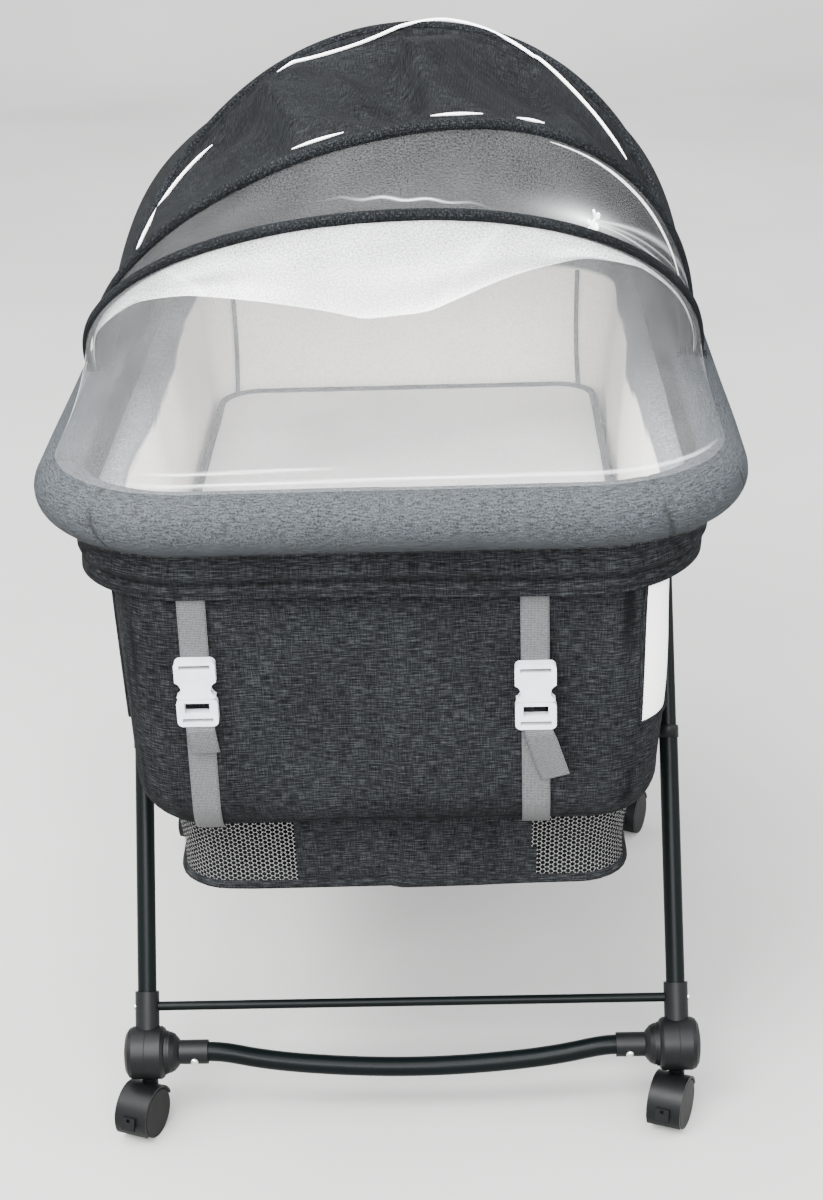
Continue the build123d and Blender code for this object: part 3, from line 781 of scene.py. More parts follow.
def make_lining():
    count, rows = 360, 34
    down = np.linspace(0, 1, rows)
    points = np.empty((count, rows + 3, 3))
    cuff = np.ones((count, rows + 3))
    for j, (half, radius, z) in enumerate(LINING_TURN):
        place = loop(half, radius, count)[0]
        points[:, j, :2] = place
        points[:, j, 2] = z
    for j, share in enumerate(down, 3):
        z = LINING_Z[1] + (LINING_Z[0] + 0.02 - LINING_Z[1]) * share
        t = (z - LINING_Z[0]) / (LINING_Z[1] - LINING_Z[0])
        half = between(LINING_BOTTOM, LINING_TOP, t) - 0.001
        place, out, run, total = loop(tuple(half), 0.050 + 0.05 * t, count)
        loose = 0.0022 * waves(run, run * 0 + z, 31, 8, 1.5, 6) - 0.004 * math.sin(share * math.pi)
        points[:, j, :2] = place + out * loose[:, None]
        points[:, j, 2] = z
        depth = 0.003 + 0.012 * hump(place[:, 1], 0.02, 0.13) + 0.0015 * np.sin(run * 31)
        cuff[:, j] = smoothstep(depth - (LINING_Z[1] - z), -0.0015, 0.0015)
    drop = np.linspace(0, LINING_Z[1] - LINING_Z[0], rows + 3)
    uv = ring_uv(run, total, drop)
    lining = grid("lining_cloth", points, uv, wrap_u=True)
    mark(lining, "cuff", cuff)
    dress(lining, lining_material())
    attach(lining, "cradle")
    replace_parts(lining, "lining")
    make_lining_bindings()


def lining_material():
    """White net cloth that changes to the dark linen cuff along a sewn edge."""
    paint = Paint("lining_and_cuff", roughness=0.9)
    place = paint.where(scale=(480, 480, 480))
    cells = paint.node("TexVoronoi", {"Vector": place, "Scale": 1.0}, feature="F1").outputs["Distance"]
    cloud = paint.noise(paint.where(scale=(14, 14, 14)), 3)
    tone = paint.maths("MULTIPLY_ADD", cells, 0.6, paint.maths("MULTIPLY", cloud, 0.4))
    white = paint.ramp(tone, [(0.2, grey(236, 4)), (0.75, grey(206, 4))])
    across = paint.noise(paint.where(scale=(90, 1100, 1)), 3, 1.0, 0.6)
    down = paint.noise(paint.where(scale=(1100, 90, 1)), 3, 1.0, 0.6)
    both = paint.maths("MULTIPLY", paint.maths("ADD", across, down), 0.5)
    dark = paint.ramp(both, [(0.36, grey(44)), (0.5, grey(78, -3)), (0.64, grey(118, -3))])
    paint.set("Base Color", paint.mix(paint.marked("cuff"), white, dark))
    paint.bump(cells, 0.0003)
    return paint.material


def make_lining_bindings():
    """Grey piping down the four inside corners."""
    cords = []
    for sx in (-1, 1):
        for sy in (-1, 1):
            path = []
            for z in np.linspace(MATTRESS_Z[1] - 0.004, LINING_Z[1] - 0.002, 22):
                t = (z - LINING_Z[0]) / (LINING_Z[1] - LINING_Z[0])
                half = between(LINING_BOTTOM, LINING_TOP, t)
                radius = 0.050 + 0.05 * t
                reach = radius * math.sqrt(0.5) - 0.008 - 0.0035 * math.sin((z - 0.5) / 0.19 * math.pi)
                path.append((sx * (half[0] - radius + reach), sy * (half[1] - radius + reach), z))
            cords.append(tube(f"binding_{sx}_{sy}", path, 0.0026, 8))
    piece = join("lining_bindings", cords)
    dress(piece, PIPING_GREY)
    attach(piece, "cradle")


def make_mattress():
    """Crowned pad with a pulled-in side and piping round its top edge."""
    half, (low, high) = MATTRESS_HALF, MATTRESS_Z
    count = 300
    radius = 0.048
    place, out, _, _ = loop(half, radius, count)
    profile = [(0.0, 0.0), (-0.001, 0.012), (-0.0025, 0.026), (-0.001, 0.038), (-0.004, 0.0450)]
    points = []
    for inset, rise in profile:
        ring = np.column_stack([place + out * (inset - 0.001), np.full(count, low + rise)])
        points.append(ring)
    top = np.concatenate([np.linspace(0.006, 0.05, 9), np.linspace(0.07, 1.0, 22)])
    edge = points[-1]
    for inset in top:
        ring = edge.copy()
        ring[:, :2] *= 1 - inset if inset < 1 else 0.002
        crown = 0.0062 * math.sin(min(inset / 0.16, 1) * math.pi / 2)
        uneven = 0.0011 * waves(ring[:, 0], ring[:, 1], 41, 10, 2, 9) * smoothstep(inset, 0.02, 0.2)
        ring[:, 2] = low + 0.0450 + crown + uneven - 0.001 * smoothstep(inset, 0.3, 1.0)
        points.append(ring)
    points = np.stack(points, 1)
    points[:, :, 2] = np.minimum(points[:, :, 2], high + 0.0008)
    uv = np.concatenate([points[..., :2], points[:1, :, :2]], 0)
    pad = grid("mattress_pad", points, uv, wrap_u=True)
    dress(pad, MATTRESS_CLOTH)
    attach(pad, "cradle")
    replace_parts(pad, "mattress")
    edge = np.column_stack([place + out * -0.0045, np.full(count, low + 0.0455)])
    piping = tube("mattress_piping", edge, 0.0042, 10, closed=True, uneven=0.05, seed=5)
    dress(piping, PIPING_GREY)
    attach(piping, "cradle")


# ---- storage basket -----------------------------------------------------------------
PANEL_X = (-0.098, 0.122)


def make_basket():
    count, rows = 420, 18
    levels = np.linspace(BASKET_Z[0] + 0.003, BASKET_Z[1], rows)
    near, far, low = BASKET_DIP
    points = np.empty((count, rows, 3))
    for j, z in enumerate(levels):
        t = (z - BASKET_Z[0]) / (BASKET_Z[1] - BASKET_Z[0])
        half = np.array(BASKET_HALF) - 0.006 * (1 - t) - 0.0005
        place, out, run, total = loop(tuple(half), 0.045, count)
        sag = 0.0030 * np.sin(t * math.pi) + 0.0015 * waves(run, run * 0 + z, 51, 7, 1.5, 6)
        points[:, j, :2] = place - out * np.clip(sag, 0, 0.006)[:, None]
        on_side = np.abs(place[:, 0]) > 0.19
        dip = (BASKET_Z[1] - low) * (1 - smoothstep(np.abs(place[:, 1]), near - 0.03, far)) * on_side
        droop = 0.0022 * waves(run, run * 0, 53, 5, 0.8, 3)
        points[:, j, 2] = z - dip * t - droop * (1 - t)
    uv = ring_uv(run, total, levels)
    wall = grid("basket_wall", points, uv, wrap_u=True)
    centres = np.array([p.center for p in wall.data.polygons])
    middle = (centres[:, 0] > PANEL_X[0]) & (centres[:, 0] < PANEL_X[1]) & (np.abs(centres[:, 1]) > 0.3)
    dress(wall, BASKET_MESH)
    wall.data.materials.append(LINEN)
    wall.data.polygons.foreach_set("material_index", middle.astype(np.int32))
    base = disc("basket_floor", points[:, 0, :], np.linspace(0, 1, 16), 0.0018)
    dress(base, LINEN)
    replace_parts(wall, "storage_basket")
    for piece in (wall, base):
        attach(piece, "cradle")
    cords = []
    for index, (row, radius) in enumerate(((0, 0.0046), (-1, 0.0022))):
        cords.append(tube(f"basket_rim_{index}", points[::2, row, :], radius, 8, closed=True))
    binding = join("basket_binding", cords)
    dress(binding, LINEN)
    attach(binding, "cradle")


# ---- straps ---------------------------------------------------------------------------
def face_y(z):
    share = (z - BODY_Z[0]) / (BODY_Z[1] - BODY_Z[0])
    return -(BODY_BOTTOM[1] + share * (BODY_TOP[1] - BODY_BOTTOM[1]))


def ribbon(name, path, x, width=0.025, thick=0.0014, lean=0.0, twist=0.0):
    """Webbing along a path of (y, z) points, with a little sideways lean and twist."""
    path = np.asarray(path, float)
    fine = np.linspace(0, 1, 60)
    run = distances_along(path)
    y = np.interp(fine * run[-1], run, path[:, 0])
    z = np.interp(fine * run[-1], run, path[:, 1])
    for _ in range(3):
        y[1:-1] = (y[:-2] + 2 * y[1:-1] + y[2:]) / 4
        z[1:-1] = (z[:-2] + 2 * z[1:-1] + z[2:]) / 4
    across = np.linspace(-0.5, 0.5, 9)
    points = np.empty((60, 9, 3))
    shift = lean * fine
    points[:, :, 0] = x + shift[:, None] + across[None, :] * width
    points[:, :, 1] = y[:, None] + twist * across[None, :] * fine[:, None] - 0.0006 * (1 - 4 * across**2)
    points[:, :, 2] = z[:, None] + lean * across[None, :] * np.minimum(fine * 3, 1)[:, None] * 0.5
    uv = np.stack(np.meshgrid(fine * run[-1], (across + 0.5) * width, indexing="ij"), -1)
    strap = grid(name, points, uv, thick=thick)
    dress(strap, WEBBING)
    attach(strap, "cradle")
    return strap


def make_straps():
    for name, (x, base) in STRAPS.items():
        slot = base + 0.058
        top = [(face_y(0.674) - 0.0016, 0.674), (face_y(slot + 0.01) - 0.0018, slot + 0.01)]
        top += [(face_y(slot) - 0.003, slot + 0.002), (face_y(slot) - 0.009, slot - 0.0005)]
        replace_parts(ribbon(f"strap_top_{name}", top, x), f"strap_upper_{name}")
        slot = base + 0.006
        low = [(face_y(slot) - 0.009, slot + 0.001), (face_y(slot) - 0.003, slot - 0.003)]
        low += [(face_y(slot - 0.02) - 0.0022, slot - 0.02), (face_y(0.440) - 0.0022, 0.440)]
        centre = face_y(BODY_Z[0] + BODY_EDGE) + BODY_EDGE
        for turn in (15, 30, 45, 60, 70):
            angle = math.radians(turn)
            reach = BODY_EDGE + 0.0022
            low.append((centre - reach * math.cos(angle), BODY_Z[0] + BODY_EDGE - reach * math.sin(angle)))
        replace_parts(ribbon(f"strap_bottom_{name}", low, x), f"strap_lower_{name}")
    x, base = STRAPS["right"]
    tail = [(face_y(base) - 0.0105, base + 0.002), (face_y(base) - 0.012, base - 0.006)]
    tail += [(face_y(base - 0.03) - 0.010, base - 0.030), (face_y(base - 0.05) - 0.0075, base - 0.051)]
    ribbon("strap_tail_right", tail, x + 0.001, lean=0.016, twist=-0.004)
    x, base = STRAPS["left"]
    tail = [(face_y(base) - 0.0105, base + 0.002), (face_y(base) - 0.012, base - 0.006)]
    tail += [(face_y(base - 0.02) - 0.011, base - 0.018), (face_y(base - 0.03) - 0.0085, base - 0.029)]
    ribbon("strap_tail_left", tail, x + 0.001, lean=0.003, width=0.0255)


# ---- hoops, canopy and net ------------------------------------------------------------
def arch(shape, count, foot=0.0, grow=0.0):
    """Points along a hoop from the left foot to the right foot, in the row frame."""
    half, height, square, skew, lean, twist = shape
    half, height = half + grow, height + grow
    first = math.asin((foot / height) ** (square / 2)) if foot else 0.0
    angle = np.linspace(first, math.pi - first, count)
    x = -np.sign(np.cos(angle)) * np.abs(np.cos(angle)) ** (2 / square) * half
    rise = np.abs(np.sin(angle)) ** (2 / square) * height
    return place_arch(x + skew * rise, rise, lean + twist * x / half)


def place_arch(x, rise, lean):
    turn = np.radians(lean)
    y = PIVOT[0] - rise * np.sin(turn)
    z = PIVOT[1] + rise * np.cos(turn)
    return np.stack(np.broadcast_arrays(x, y, z), -1)


def even_arch(shape, count, foot=0.0, grow=0.0):
    """The same, with its points evenly spaced."""
    path = arch(shape, 400, foot, grow)
    run = distances_along(path)
    want = np.linspace(0, run[-1], count)
    return np.stack([np.interp(want, run, path[:, axis]) for axis in range(3)], -1)


def make_hoops():
    for name, shape, body in (
        ("front", HOOP_FRONT, "canopy_front"),
        ("middle", HOOP_MIDDLE, "canopy_middle"),
        ("rear", HOOP_REAR, "canopy_rear"),
    ):
        path = even_arch(shape, 150, 0.005)
        from_foot = np.minimum(np.arange(150), np.arange(150)[::-1]) / 150
        radius = 0.0038 + 0.0014 * smoothstep(from_foot, 0.05, 0.14)
        sleeve = tube(f"hoop_sleeve_{name}", path, radius, 16, uneven=0.02, seed=61)
        dress(sleeve, SLEEVE)
        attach(sleeve, body)
        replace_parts(sleeve, f"hoop_{name}")


def soft_step(x, xs, ys):
    """Smooth curve through a few stations."""
    xs, ys = np.asarray(xs, float), np.asarray(ys, float)
    slope = np.gradient(ys, xs)
    index = np.clip(np.searchsorted(xs, x) - 1, 0, len(xs) - 2)
    width = xs[index + 1] - xs[index]
    t = (x - xs[index]) / width
    a = (1 + 2 * t) * (1 - t) ** 2
    b = t * (1 - t) ** 2
    c = t * t * (3 - 2 * t)
    d = t * t * (t - 1)
    return a * ys[index] + b * width * slope[index] + c * ys[index + 1] + d * width * slope[index + 1]


CLOTH_LEANS = (-90.0, -74.0, -56.0, -34.0, 0.0, 35.5)
CLOTH_HALF = (0.2895, 0.288, 0.286, 0.2785, 0.2825, 0.2860)
CLOTH_HEIGHT = (0.5325, 0.487, 0.408, 0.3515, 0.3400, 0.3280)
CLOTH_SQUARE = (7.0, 4.3, 2.7, 2.06, 2.10, 2.15)
CLOTH_SKEW = (0.0, 0.0, 0.04, 0.075, 0.05, 0.02)
FRONT_TO_REAR = HOOP_MIDDLE[4] - HOOP_REAR[4]
# ridges of the slack cloth: start, end (angle along the arch, share from middle to rear hoop),
# height, and the widths of the steep and the soft side
RIDGES = (
    ((0.98, 0.84), (1.05, 0.78), 0.022, 0.016, 0.050),
    ((1.04, 0.80), (1.34, 0.04), 0.038, 0.011, 0.064),
    ((1.66, 0.86), (1.57, 0.66), 0.034, 0.014, 0.045),
    ((1.57, 0.66), (1.72, 0.04), 0.040, 0.012, 0.060),
    ((1.30, 0.72), (1.46, 0.30), 0.012, 0.009, 0.024),
    ((2.05, 0.85), (2.26, 0.15), 0.014, 0.016, 0.055),
    ((0.60, 0.70), (0.74, 0.10), 0.012, 0.014, 0.045),
)


def ridge(along, share, start, stop, height, steep, soft):
    """One fold: a crest that runs between two places, steep on one side and soft on the other."""
    x, y = along * 0.33 - start[0] * 0.33, share * 0.38 - start[1] * 0.38
    way = np.array([(stop[0] - start[0]) * 0.33, (stop[1] - start[1]) * 0.38])
    length = np.hypot(*way)
    way = way / length
    t = np.clip((x * way[0] + y * way[1]) / length, 0, 1)
    gap = np.hypot(x - way[0] * t * length, y - way[1] * t * length)
    side = x * way[1] - y * way[0]
    blend = smoothstep(side, -0.006, 0.006)
    width = steep * blend + soft * (1 - blend)
    return height * np.exp(-((gap / width) ** 1.6))


def cloth_surface(lean, along):
    """Canopy cloth at a nominal lean and an angle along the arch: x, distance from the pivot, lean."""
    half = soft_step(lean, CLOTH_LEANS, CLOTH_HALF)
    height = soft_step(lean, CLOTH_LEANS, CLOTH_HEIGHT)
    square = soft_step(lean, CLOTH_LEANS, CLOTH_SQUARE)
    skew = soft_step(lean, CLOTH_LEANS, CLOTH_SKEW)
    x = -np.sign(np.cos(along)) * np.abs(np.cos(along)) ** (2 / square) * half
    rise = np.abs(np.sin(along)) ** (2 / square) * height
    share = np.clip((HOOP_MIDDLE[4] - lean) / FRONT_TO_REAR, 0, 1)
    lean_here = lean + HOOP_MIDDLE[5] * x / half * (1 - share)
    x = x + skew * rise
    slack = 1 - np.abs(2 * share - 1) ** 3.2
    crown = np.sin(along)
    change = -0.080 * slack * np.abs(crown) ** 0.7
    for start, stop, high, steep, soft in RIDGES:
        change = change + ridge(along, share, start, stop, high, steep, soft) * np.minimum(slack * 2.2, 1)
    change = np.minimum(change, -0.032 * slack * np.abs(crown) ** 0.7)
    back = smoothstep(-lean, 38.0, 62.0)
    change = change - 0.0030 * waves(along * 0.3, lean / 200, 71, 10, 1.5, 6) * (back + 0.5 * slack) * crown
    return x, rise + change, lean_here


def make_canopy():
    nu, nv = 230, 190
    lean = np.linspace(HOOP_MIDDLE[4], CLOTH_LEANS[0], nv)[None, :]
    along = np.linspace(0.0, math.pi, nu)[:, None]
    along = along - 0.06 * np.sin(2 * along)
    x, rise, lean_here = cloth_surface(lean, along)
    points = place_arch(x, rise, lean_here)
    points[..., 2] = np.maximum(points[..., 2], RIM_Z + ROLL_R - 0.0025)
    uv = sheet_uv(along * 0.30, np.radians(HOOP_MIDDLE[4] - lean) * 0.40)
    cloth = grid("canopy_cloth", points, uv, thick=0.0009)
    mark(cloth, "seam", 0.5 * hump(lean_of(cloth), HOOP_REAR[4] + 2.1, 0.35))
    dress(cloth, LINEN_DEEP)
    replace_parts(cloth, "canopy_fabric")
    blend_with(cloth)


# where the white tape runs: angle along the arch, degrees in front of the rear hoop, lift
TAPE_LEFT = ((0.33, 2.2, 0.006), (0.50, 3.0, 0.0055), (0.66, 4.2, 0.004), (0.80, 5.5, 0.003))
TAPE_RIGHT = (
    (1.07, 4.5, 0.003), (1.25, 3.6, 0.003), (1.40, 2.6, 0.004), (1.53, 1.0, 0.0062), (1.65, 0.2, 0.0078),
    (1.80, 0.4, 0.0070), (2.00, 1.5, 0.005), (2.16, 3.0, 0.003), (2.30, 4.0, 0.003), (2.45, 5.0, 0.002),
)


def canopy_piping():
    """White tape that runs in waves just in front of the rear hoop."""
    cords = []
    for index, stations in enumerate((TAPE_LEFT, TAPE_RIGHT)):
        at, ahead, lift = np.array(stations).T
        along = np.linspace(at[0], at[-1], 150)
        lean = HOOP_REAR[4] + soft_step(along, at, ahead)
        x, rise, lean_here = cloth_surface(lean, along)
        points = place_arch(x, rise + soft_step(along, at, lift), lean_here)
        ends = np.minimum(1, 0.25 + np.minimum(along - at[0], at[-1] - along) / 0.08)
        cords.append(tube(f"tape_{index}", points, 0.0017 * ends, 8, uneven=0.05, seed=73 + index))
    tape = join("canopy_tape", cords)
    dress(tape, NET_HEM)
    blend_with(tape)


def make_upper_net():
    """Net between the middle and front hoops, drawn in a little and creased to a knot, with a painted glint
    line.
    """
    nu, nv = 200, 80
    share = np.linspace(0, 1, nv)
    back = even_arch(HOOP_MIDDLE, nu, 0.012, 0.0005)
    fore = even_arch(HOOP_FRONT, nu, 0.012, 0.0005)
    points = back[:, None, :] * (1 - share)[None, :, None] + fore[:, None, :] * share[None, :, None]
    along = np.linspace(0, 1, nu)[:, None]
    dip = np.sin(share * math.pi)[None, :] * np.sin(along * math.pi)
    knot_u, knot_v = 0.695, 0.80
    toward = np.array([0.0, 0.5, -0.87])
    pull = 0.012 * dip + 0.002 * waves(along, share[None, :] * 0.2, 81, 6, 2, 7) * dip
    points = points + pull[..., None] * toward
    du, dv = along - knot_u, (share[None, :] - knot_v) * 0.25
    angle = np.arctan2(dv, du)
    reach = np.hypot(du, dv)
    rays = np.zeros((nu, nv))
    for turn, width, length in ((-0.60, 0.07, 0.20), (0.12, 0.05, 0.16), (-0.25, 0.04, 0.12)):
        gap = np.abs((angle - turn + math.pi) % TURN - math.pi)
        ray = np.exp(-((gap / width) ** 2)) * np.exp(-reach / length) * smoothstep(reach, 0.0, 0.02)
        rays = np.maximum(rays, ray)
    # painted highlight: a thin crooked glint line across the net, carried by the crease mark
    crook = 0.66 + 1.7 * (along - 0.485) + 0.02 * np.sin(along * 160)
    glint = hump(share[None, :], crook, 0.014) * hump(along, 0.525, 0.040)
    fade = np.exp(-reach / 0.02)
    crease_and_glint = np.clip(rays * 0.5 + glint * 0.6 + fade, 0, 1)
    uv = sheet_uv(along * 0.83, share[None, :] * 0.10)
    net = grid("net_upper", points, uv)
    mark(net, "crease_and_glint", crease_and_glint)
    dress(net, NET_UPPER)
    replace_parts(net, "mosquito_net")
    blend_with(net)
    make_knot(points[int(knot_u * nu), int(knot_v * nv)])


def make_knot(at):
    """The small gathered twist of net at the front hoop."""
    t = np.linspace(0, 1, 60)
    wind = np.stack([
        0.0050 * np.sin(t * 12) * (1 - 0.5 * t) + 0.006 * t,
        -0.003 + 0.0030 * np.cos(t * 10),
        -0.004 + 0.017 * t + 0.0030 * np.sin(t * 23),
    ], -1)
    path = wind + at + np.array([0.0, -0.003, -0.002])
    twist = tube("net_knot", path, 0.0024 * (1 - 0.6 * t), 8, uneven=0.2, seed=9)
    dress(twist, NET_HEM)
    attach(twist, "canopy_front")


def front_loop(count):
    """The part of the rim from the left hoop foot round the front to the right hoop foot."""
    total = loop(RIM_HALF, RIM_CORNER, 8)[3]
    straight = RIM_HALF[0] - RIM_CORNER
    arc = RIM_CORNER * math.pi / 2
    reach = straight + arc + (PIVOT[0] - 0.004 + RIM_HALF[1] - RIM_CORNER)
    shares = np.linspace(-reach, reach, count) / total
    place, out, _, _ = loop(RIM_HALF, RIM_CORNER, shares % 1.0)
    return place, out, shares * total


def round_roll(place, out, reach, angle):
    """A row of points round the rim roll at a distance and an angle from its centre line."""
    flat = place + out * (reach * math.cos(angle))[:, None]
    return np.column_stack([flat, RIM_Z + reach * math.sin(angle)])


# creases from the left and right hoop feet: share round the net at the hoop and at the roll, width
FOOT_CREASES = ((0.020, 0.10, 0.0045), (0.035, 0.16, 0.005), (0.052, 0.21, 0.0045), (0.985, 0.90, 0.005))
# glints along the front of the net: share from hoop to roll, and where they start and stop
FRONT_GLINTS = ((0.955, 0.30, 0.72), (0.90, 0.31, 0.42))


def make_front_net():
    """One net from the front hoop down over the roll to an elastic hem under it."""
    nu = 230
    place, out, run = front_loop(nu)
    hoop = even_arch(HOOP_FRONT, nu, 0.012, 0.0005)
    reach = ROLL_R + 0.0014
    touch = np.radians(78)
    rows_free, rows_roll = 120, 22
    start = round_roll(place, out, np.full(nu, reach), touch)
    rows, shares = [], []
    side = np.abs(np.linspace(-1, 1, nu))
    for t in np.linspace(0, 1, rows_free):
        row = hoop * (1 - t) + start * t
        bow = 0.016 * math.sin(t * math.pi) * (1 - side**2)
        row[:, 2] -= bow
        row[:, 1] += bow * 0.5
        rows.append(row)
        shares.append(np.full(nu, 1 - t))
    for angle in np.linspace(touch, math.radians(-112), rows_roll)[1:]:
        near = smoothstep(-angle, math.radians(70), math.radians(112))
        wave = 0.0012 * near * np.sin(run * TURN * 34) + 0.0008 * near * waves(run, run * 0, 91, 6, 20, 60)
        far = reach + wave
        rows.append(round_roll(place, out, far, angle))
        shares.append(np.zeros(nu))
    points = np.stack(rows, 1)
    share = np.stack(shares, 1)
    t = 1 - share
    u = np.linspace(0, 1, nu)[:, None]
    crease_and_glint = np.zeros_like(share)
    for foot, run_to, wide in FOOT_CREASES:
        reach_down = smoothstep(t, 0.02, 0.15) * (1 - smoothstep(t, 0.7, 0.95))
        crease_and_glint = np.maximum(crease_and_glint, hump(u, foot + (run_to - foot) * t, wide) * reach_down)
    for level, left, right in FRONT_GLINTS:
        span = smoothstep(u, left, left + 0.05) * (1 - smoothstep(u, right, right + 0.06))
        crease_and_glint = np.maximum(crease_and_glint, 0.55 * hump(t, level + 0.010 * np.sin(u * 7), 0.0050) * span)
    crease_and_glint = crease_and_glint * (share > 0)
    steps = np.linalg.norm(np.diff(points[nu // 2], axis=0), axis=1)
    down = np.concatenate([[0], np.cumsum(steps)])[None, :]
    uv = sheet_uv(u * 1.25, down)
    net = grid("net_front", points, uv)
    mark(net, "crease_and_glint", crease_and_glint)
    dress(net, NET)
    net.data.materials.append(NET_ROLL)
    rows_total = points.shape[1]
    on_roll = np.tile(np.arange(rows_total - 1) >= rows_free - 1, nu - 1)
    net.data.polygons.foreach_set("material_index", on_roll.astype(np.int32))
    blend_with(net)
    hem = tube("net_hem", points[::2, -1, :], 0.0014, 6, uneven=0.25, seed=93)
    dress(hem, NET_HEM)
    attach(hem, "cradle")


def make_veil():
    """The doubled net that hangs inside the front hoop with a scalloped lower edge."""
    nu, nv = 170, 22
    hoop = even_arch(HOOP_FRONT, nu, 0.02, -0.006)
    u = np.linspace(0, 1, nu)
    stations = (0.0, 0.10, 0.22, 0.30, 0.38, 0.48, 0.54, 0.62, 0.70, 0.78, 1.0)
    drops = (0.003, 0.004, 0.018, 0.036, 0.060, 0.096, 0.090, 0.054, 0.021, 0.005, 0.003)
    drop = np.interp(u, stations, drops)
    for _ in range(3):
        drop[1:-1] = (drop[:-2] + 2 * drop[1:-1] + drop[2:]) / 4
    v = np.linspace(0, 1, nv)[None, :]
    points = np.repeat(hoop[:, None, :], nv, 1)
    points[..., 2] -= drop[:, None] * v
    points[..., 1] += 0.03 * v * drop[:, None] / 0.1 + 0.0035 * np.sin(u * 31)[:, None] * v + 0.002
    points[..., 1] += 0.003 * waves(u[:, None], v * 0.3, 95, 6, 2, 8) * v
    crease_and_glint = 0.45 * smoothstep(v, 0.93, 1.0) * np.ones((nu, 1))
    for spot, lean in ((0.27, 0.05), (0.62, -0.07)):
        crease_and_glint = np.maximum(crease_and_glint, 0.3 * hump(u[:, None], spot + lean * v, 0.005))
    uv = sheet_uv(u[:, None] * 0.8, v * drop[:, None])
    veil = grid("net_veil", points, uv)
    mark(veil, "crease_and_glint", crease_and_glint)
    dress(veil, NET_VEIL)
    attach(veil, "canopy_front")


# where the net's white edge shows: start and stop along the middle hoop, lift and degrees behind it
NET_EDGES = (
    (0.415, 0.465, 0.0040, 1.4),
    (0.54, 0.59, 0.0042, 1.4),
    (0.62, 0.65, 0.0042, 1.2),
    (0.66, 0.90, -0.0062, -0.6),
)


def net_edges():
    """White net edge that shows along the middle hoop."""
    cords = []
    for index, (start, stop, lift, turn) in enumerate(NET_EDGES):
        shape = (*HOOP_MIDDLE[:4], HOOP_MIDDLE[4] - turn, HOOP_MIDDLE[5])
        path = even_arch(shape, 400, 0.012, lift)
        part = path[int(start * 400): int(stop * 400)]
        t = np.linspace(0, math.pi, len(part))
        radius = 0.0014 * (0.25 + 0.75 * np.sin(t))
        cords.append(tube(f"edge_{index}", part, radius, 8, uneven=0.1, seed=97 + index))
    edge = join("net_edge", cords)
    dress(edge, NET_HEM)
    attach(edge, "canopy_middle")


# ---- small hardware ---------------------------------------------------------------------
CORNERS = [(place, name, side, end) for place, end in (("front", -1), ("rear", 1)) for name, side in SIDES]


def turned(name, profile, matrix, sides=36):
    """A turned piece from (radius, height) points about the matrix's Z axis."""
    angle = np.arange(sides) * TURN / sides
    rings = np.array([[(r * math.cos(a), r * math.sin(a), h) for r, h in profile] for a in angle])
    uv = plain_uv(sides + 1, len(profile), 0.05, 0.02)
    piece = grid(name, rings, uv, wrap_u=True)
    piece.data.transform(matrix)
    return piece


def make_leg_bushes():
    """Plastic bush where each inner leg tube enters the outer one."""
    profile = [(0.0084, 0.305), (0.0104, 0.305), (0.0104, 0.3155), (0.0100, 0.3175), (0.0084, 0.3178)]
    for place, name, side, end in CORNERS:
        hub = Matrix.Translation((side * LEG_X, end * HUB_Y, HUB_Z))
        bush = turned(f"leg_bush_{place}_{name}", profile, hub @ Matrix.Rotation(end * LEG_ANGLE, 4, "X"))
        dress(bush, PLASTIC)
        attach(bush, f"{place}_foot")


def make_hub_details():
    """Mould line round each hub, and the steel collar on each caster stem."""
    seam_ring = [(0.0260, -0.0005), (0.0266, -0.0003), (0.0266, 0.0003), (0.0260, 0.0005)]
    collar_ring = [(0.0041, 0.0546), (0.0058, 0.0546), (0.0058, 0.0556), (0.0041, 0.0556)]
    for place, name, side, end in CORNERS:
        along_x = Matrix.Translation((side * (LEG_X + 0.001), end * HUB_Y, HUB_Z))
        along_x = along_x @ Matrix.Rotation(math.pi / 2, 4, "Y")
        seam = turned(f"hub_seam_{place}_{name}", seam_ring, along_x, 64)
        dress(seam, WHEEL_PLASTIC)
        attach(seam, f"{place}_foot")
        stem = Matrix.Translation((side * LEG_X, end * HUB_Y, 0))
        collar = turned(f"stem_collar_{place}_{name}", collar_ring, stem)
        dress(collar, STEEL)
        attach(collar, f"{place}_{name}_caster")


# ---- stage, lights and camera ---------------------------------------------------------------
def make_stage():
    """Pale floor that curves up into a backdrop."""
    profile = [(-9.0, 0.0), (4.8, 0.0)]
    for step in range(1, 13):
        turn = math.radians(90 * step / 12)
        profile.append((4.8 + 1.2 * math.sin(turn), 1.2 - 1.2 * math.cos(turn)))
    profile.append((6.0, 7.0))
    points = np.array([[(x, y, z) for y, z in profile] for x in np.linspace(-9, 9, 3)])
    floor = grid("studio_floor", points, plain_uv(3, len(profile), 14, 14))
    paint = Paint("studio_paper", roughness=0.9)
    cloud = paint.noise(paint.where("Object", (1.5,) * 3), 3)
    paint.set("Base Color", paint.ramp(cloud, [(0.3, (0.27, 0.27, 0.26)), (0.7, (0.30, 0.30, 0.29))]))
    floor.data.materials.append(paint.material)


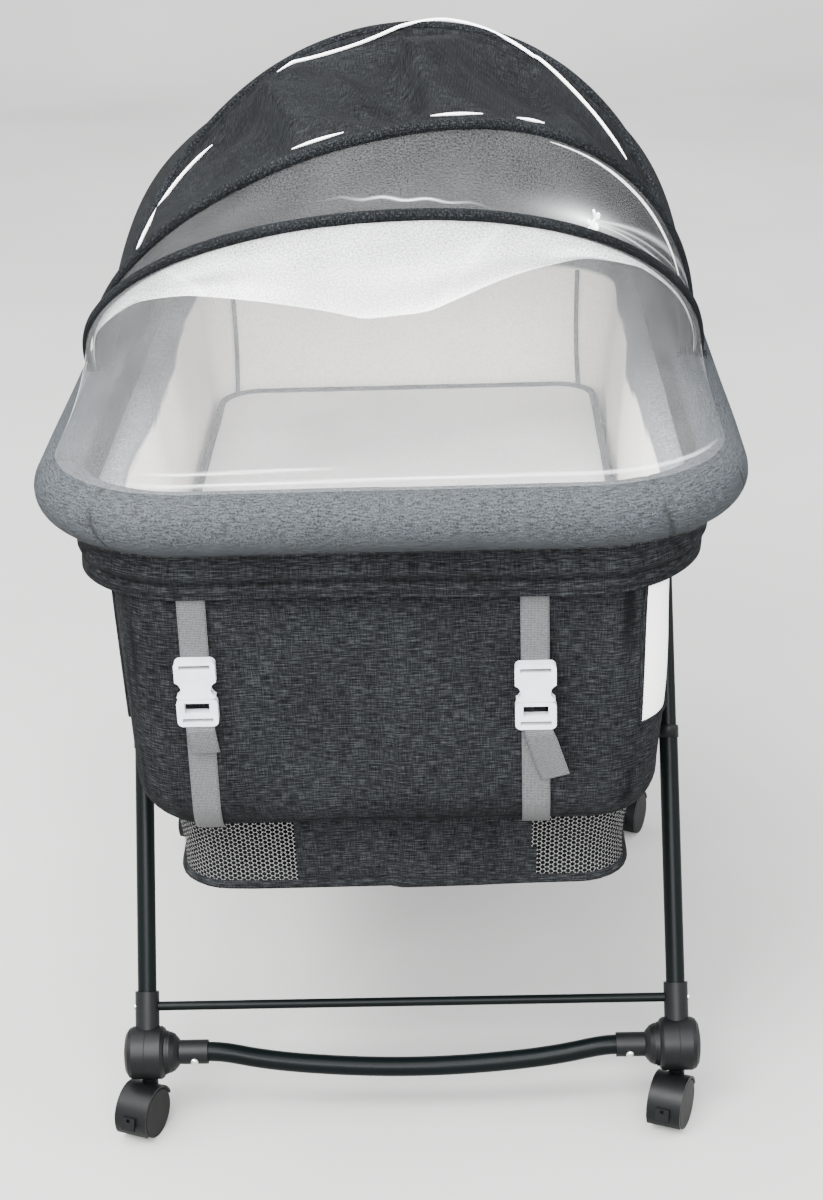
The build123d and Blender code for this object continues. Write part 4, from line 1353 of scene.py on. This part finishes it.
def add_light(name, place, target, size, power):
    data = bpy.data.lights.new(name, "AREA")
    data.shape = "RECTANGLE"
    data.size, data.size_y = size
    data.energy = power
    lamp = bpy.data.objects.new(name, data)
    lamp.location = place
    lamp.rotation_euler = (Vector(target) - Vector(place)).to_track_quat("-Z", "Y").to_euler()
    bpy.context.scene.collection.objects.link(lamp)


def make_lights():
    add_light("key", (-1.3, -2.1, 3.1), (0, 0, 0.6), (1.7, 1.3), 400)
    add_light("front", (0.2, -3.3, 2.1), (0, 0, 0.7), (2.2, 1.2), 360)
    add_light("fill_right", (2.9, -0.9, 1.9), (0, 0, 0.5), (2.0, 2.0), 90)
    add_light("fill_left", (-2.9, -0.2, 1.9), (0, 0, 0.5), (2.0, 2.0), 90)
    add_light("backdrop", (0, 2.8, 4.2), (0, 5.6, 0.8), (6.0, 1.0), 420)
    add_light("overhead", (-0.3, -0.5, 3.4), (0, 0, 0.4), (3.0, 2.4), 330)
    world = bpy.data.worlds.new("studio")
    world.use_nodes = True
    world.node_tree.nodes["Background"].inputs["Color"].default_value = (0.93, 0.96, 1.0, 1)
    world.node_tree.nodes["Background"].inputs["Strength"].default_value = 2.5
    bpy.context.scene.world = world


LENS = 68.94
CAMERA_AT = (0.065, -2.2295, 1.411)
PITCH, YAW, ROLL = (math.radians(a) for a in (23.52, 1.504, 1.873))


def make_camera():
    data = bpy.data.cameras.new("camera")
    data.sensor_width = 36.0
    data.lens = LENS
    camera = bpy.data.objects.new("camera", data)
    ahead = Vector((-math.sin(YAW) * math.cos(PITCH), math.cos(YAW) * math.cos(PITCH), -math.sin(PITCH)))
    right = Vector((math.cos(YAW), math.sin(YAW), 0.0))
    up = right.cross(ahead)
    tipped_right = right * math.cos(ROLL) - up * math.sin(ROLL)
    tipped_up = right * math.sin(ROLL) + up * math.cos(ROLL)
    axes = Matrix((tipped_right, tipped_up, -ahead)).transposed().to_4x4()
    camera.matrix_world = Matrix.Translation(CAMERA_AT) @ axes
    bpy.context.scene.collection.objects.link(camera)
    bpy.context.scene.camera = camera


dress_frame()
make_roll()
make_body()
make_flap()
make_lining()
make_mattress()
make_basket()
make_straps()
make_hoops()
make_canopy()
canopy_piping()
make_upper_net()
make_front_net()
make_veil()
net_edges()
make_leg_bushes()
make_hub_details()
make_stage()
make_lights()
make_camera()
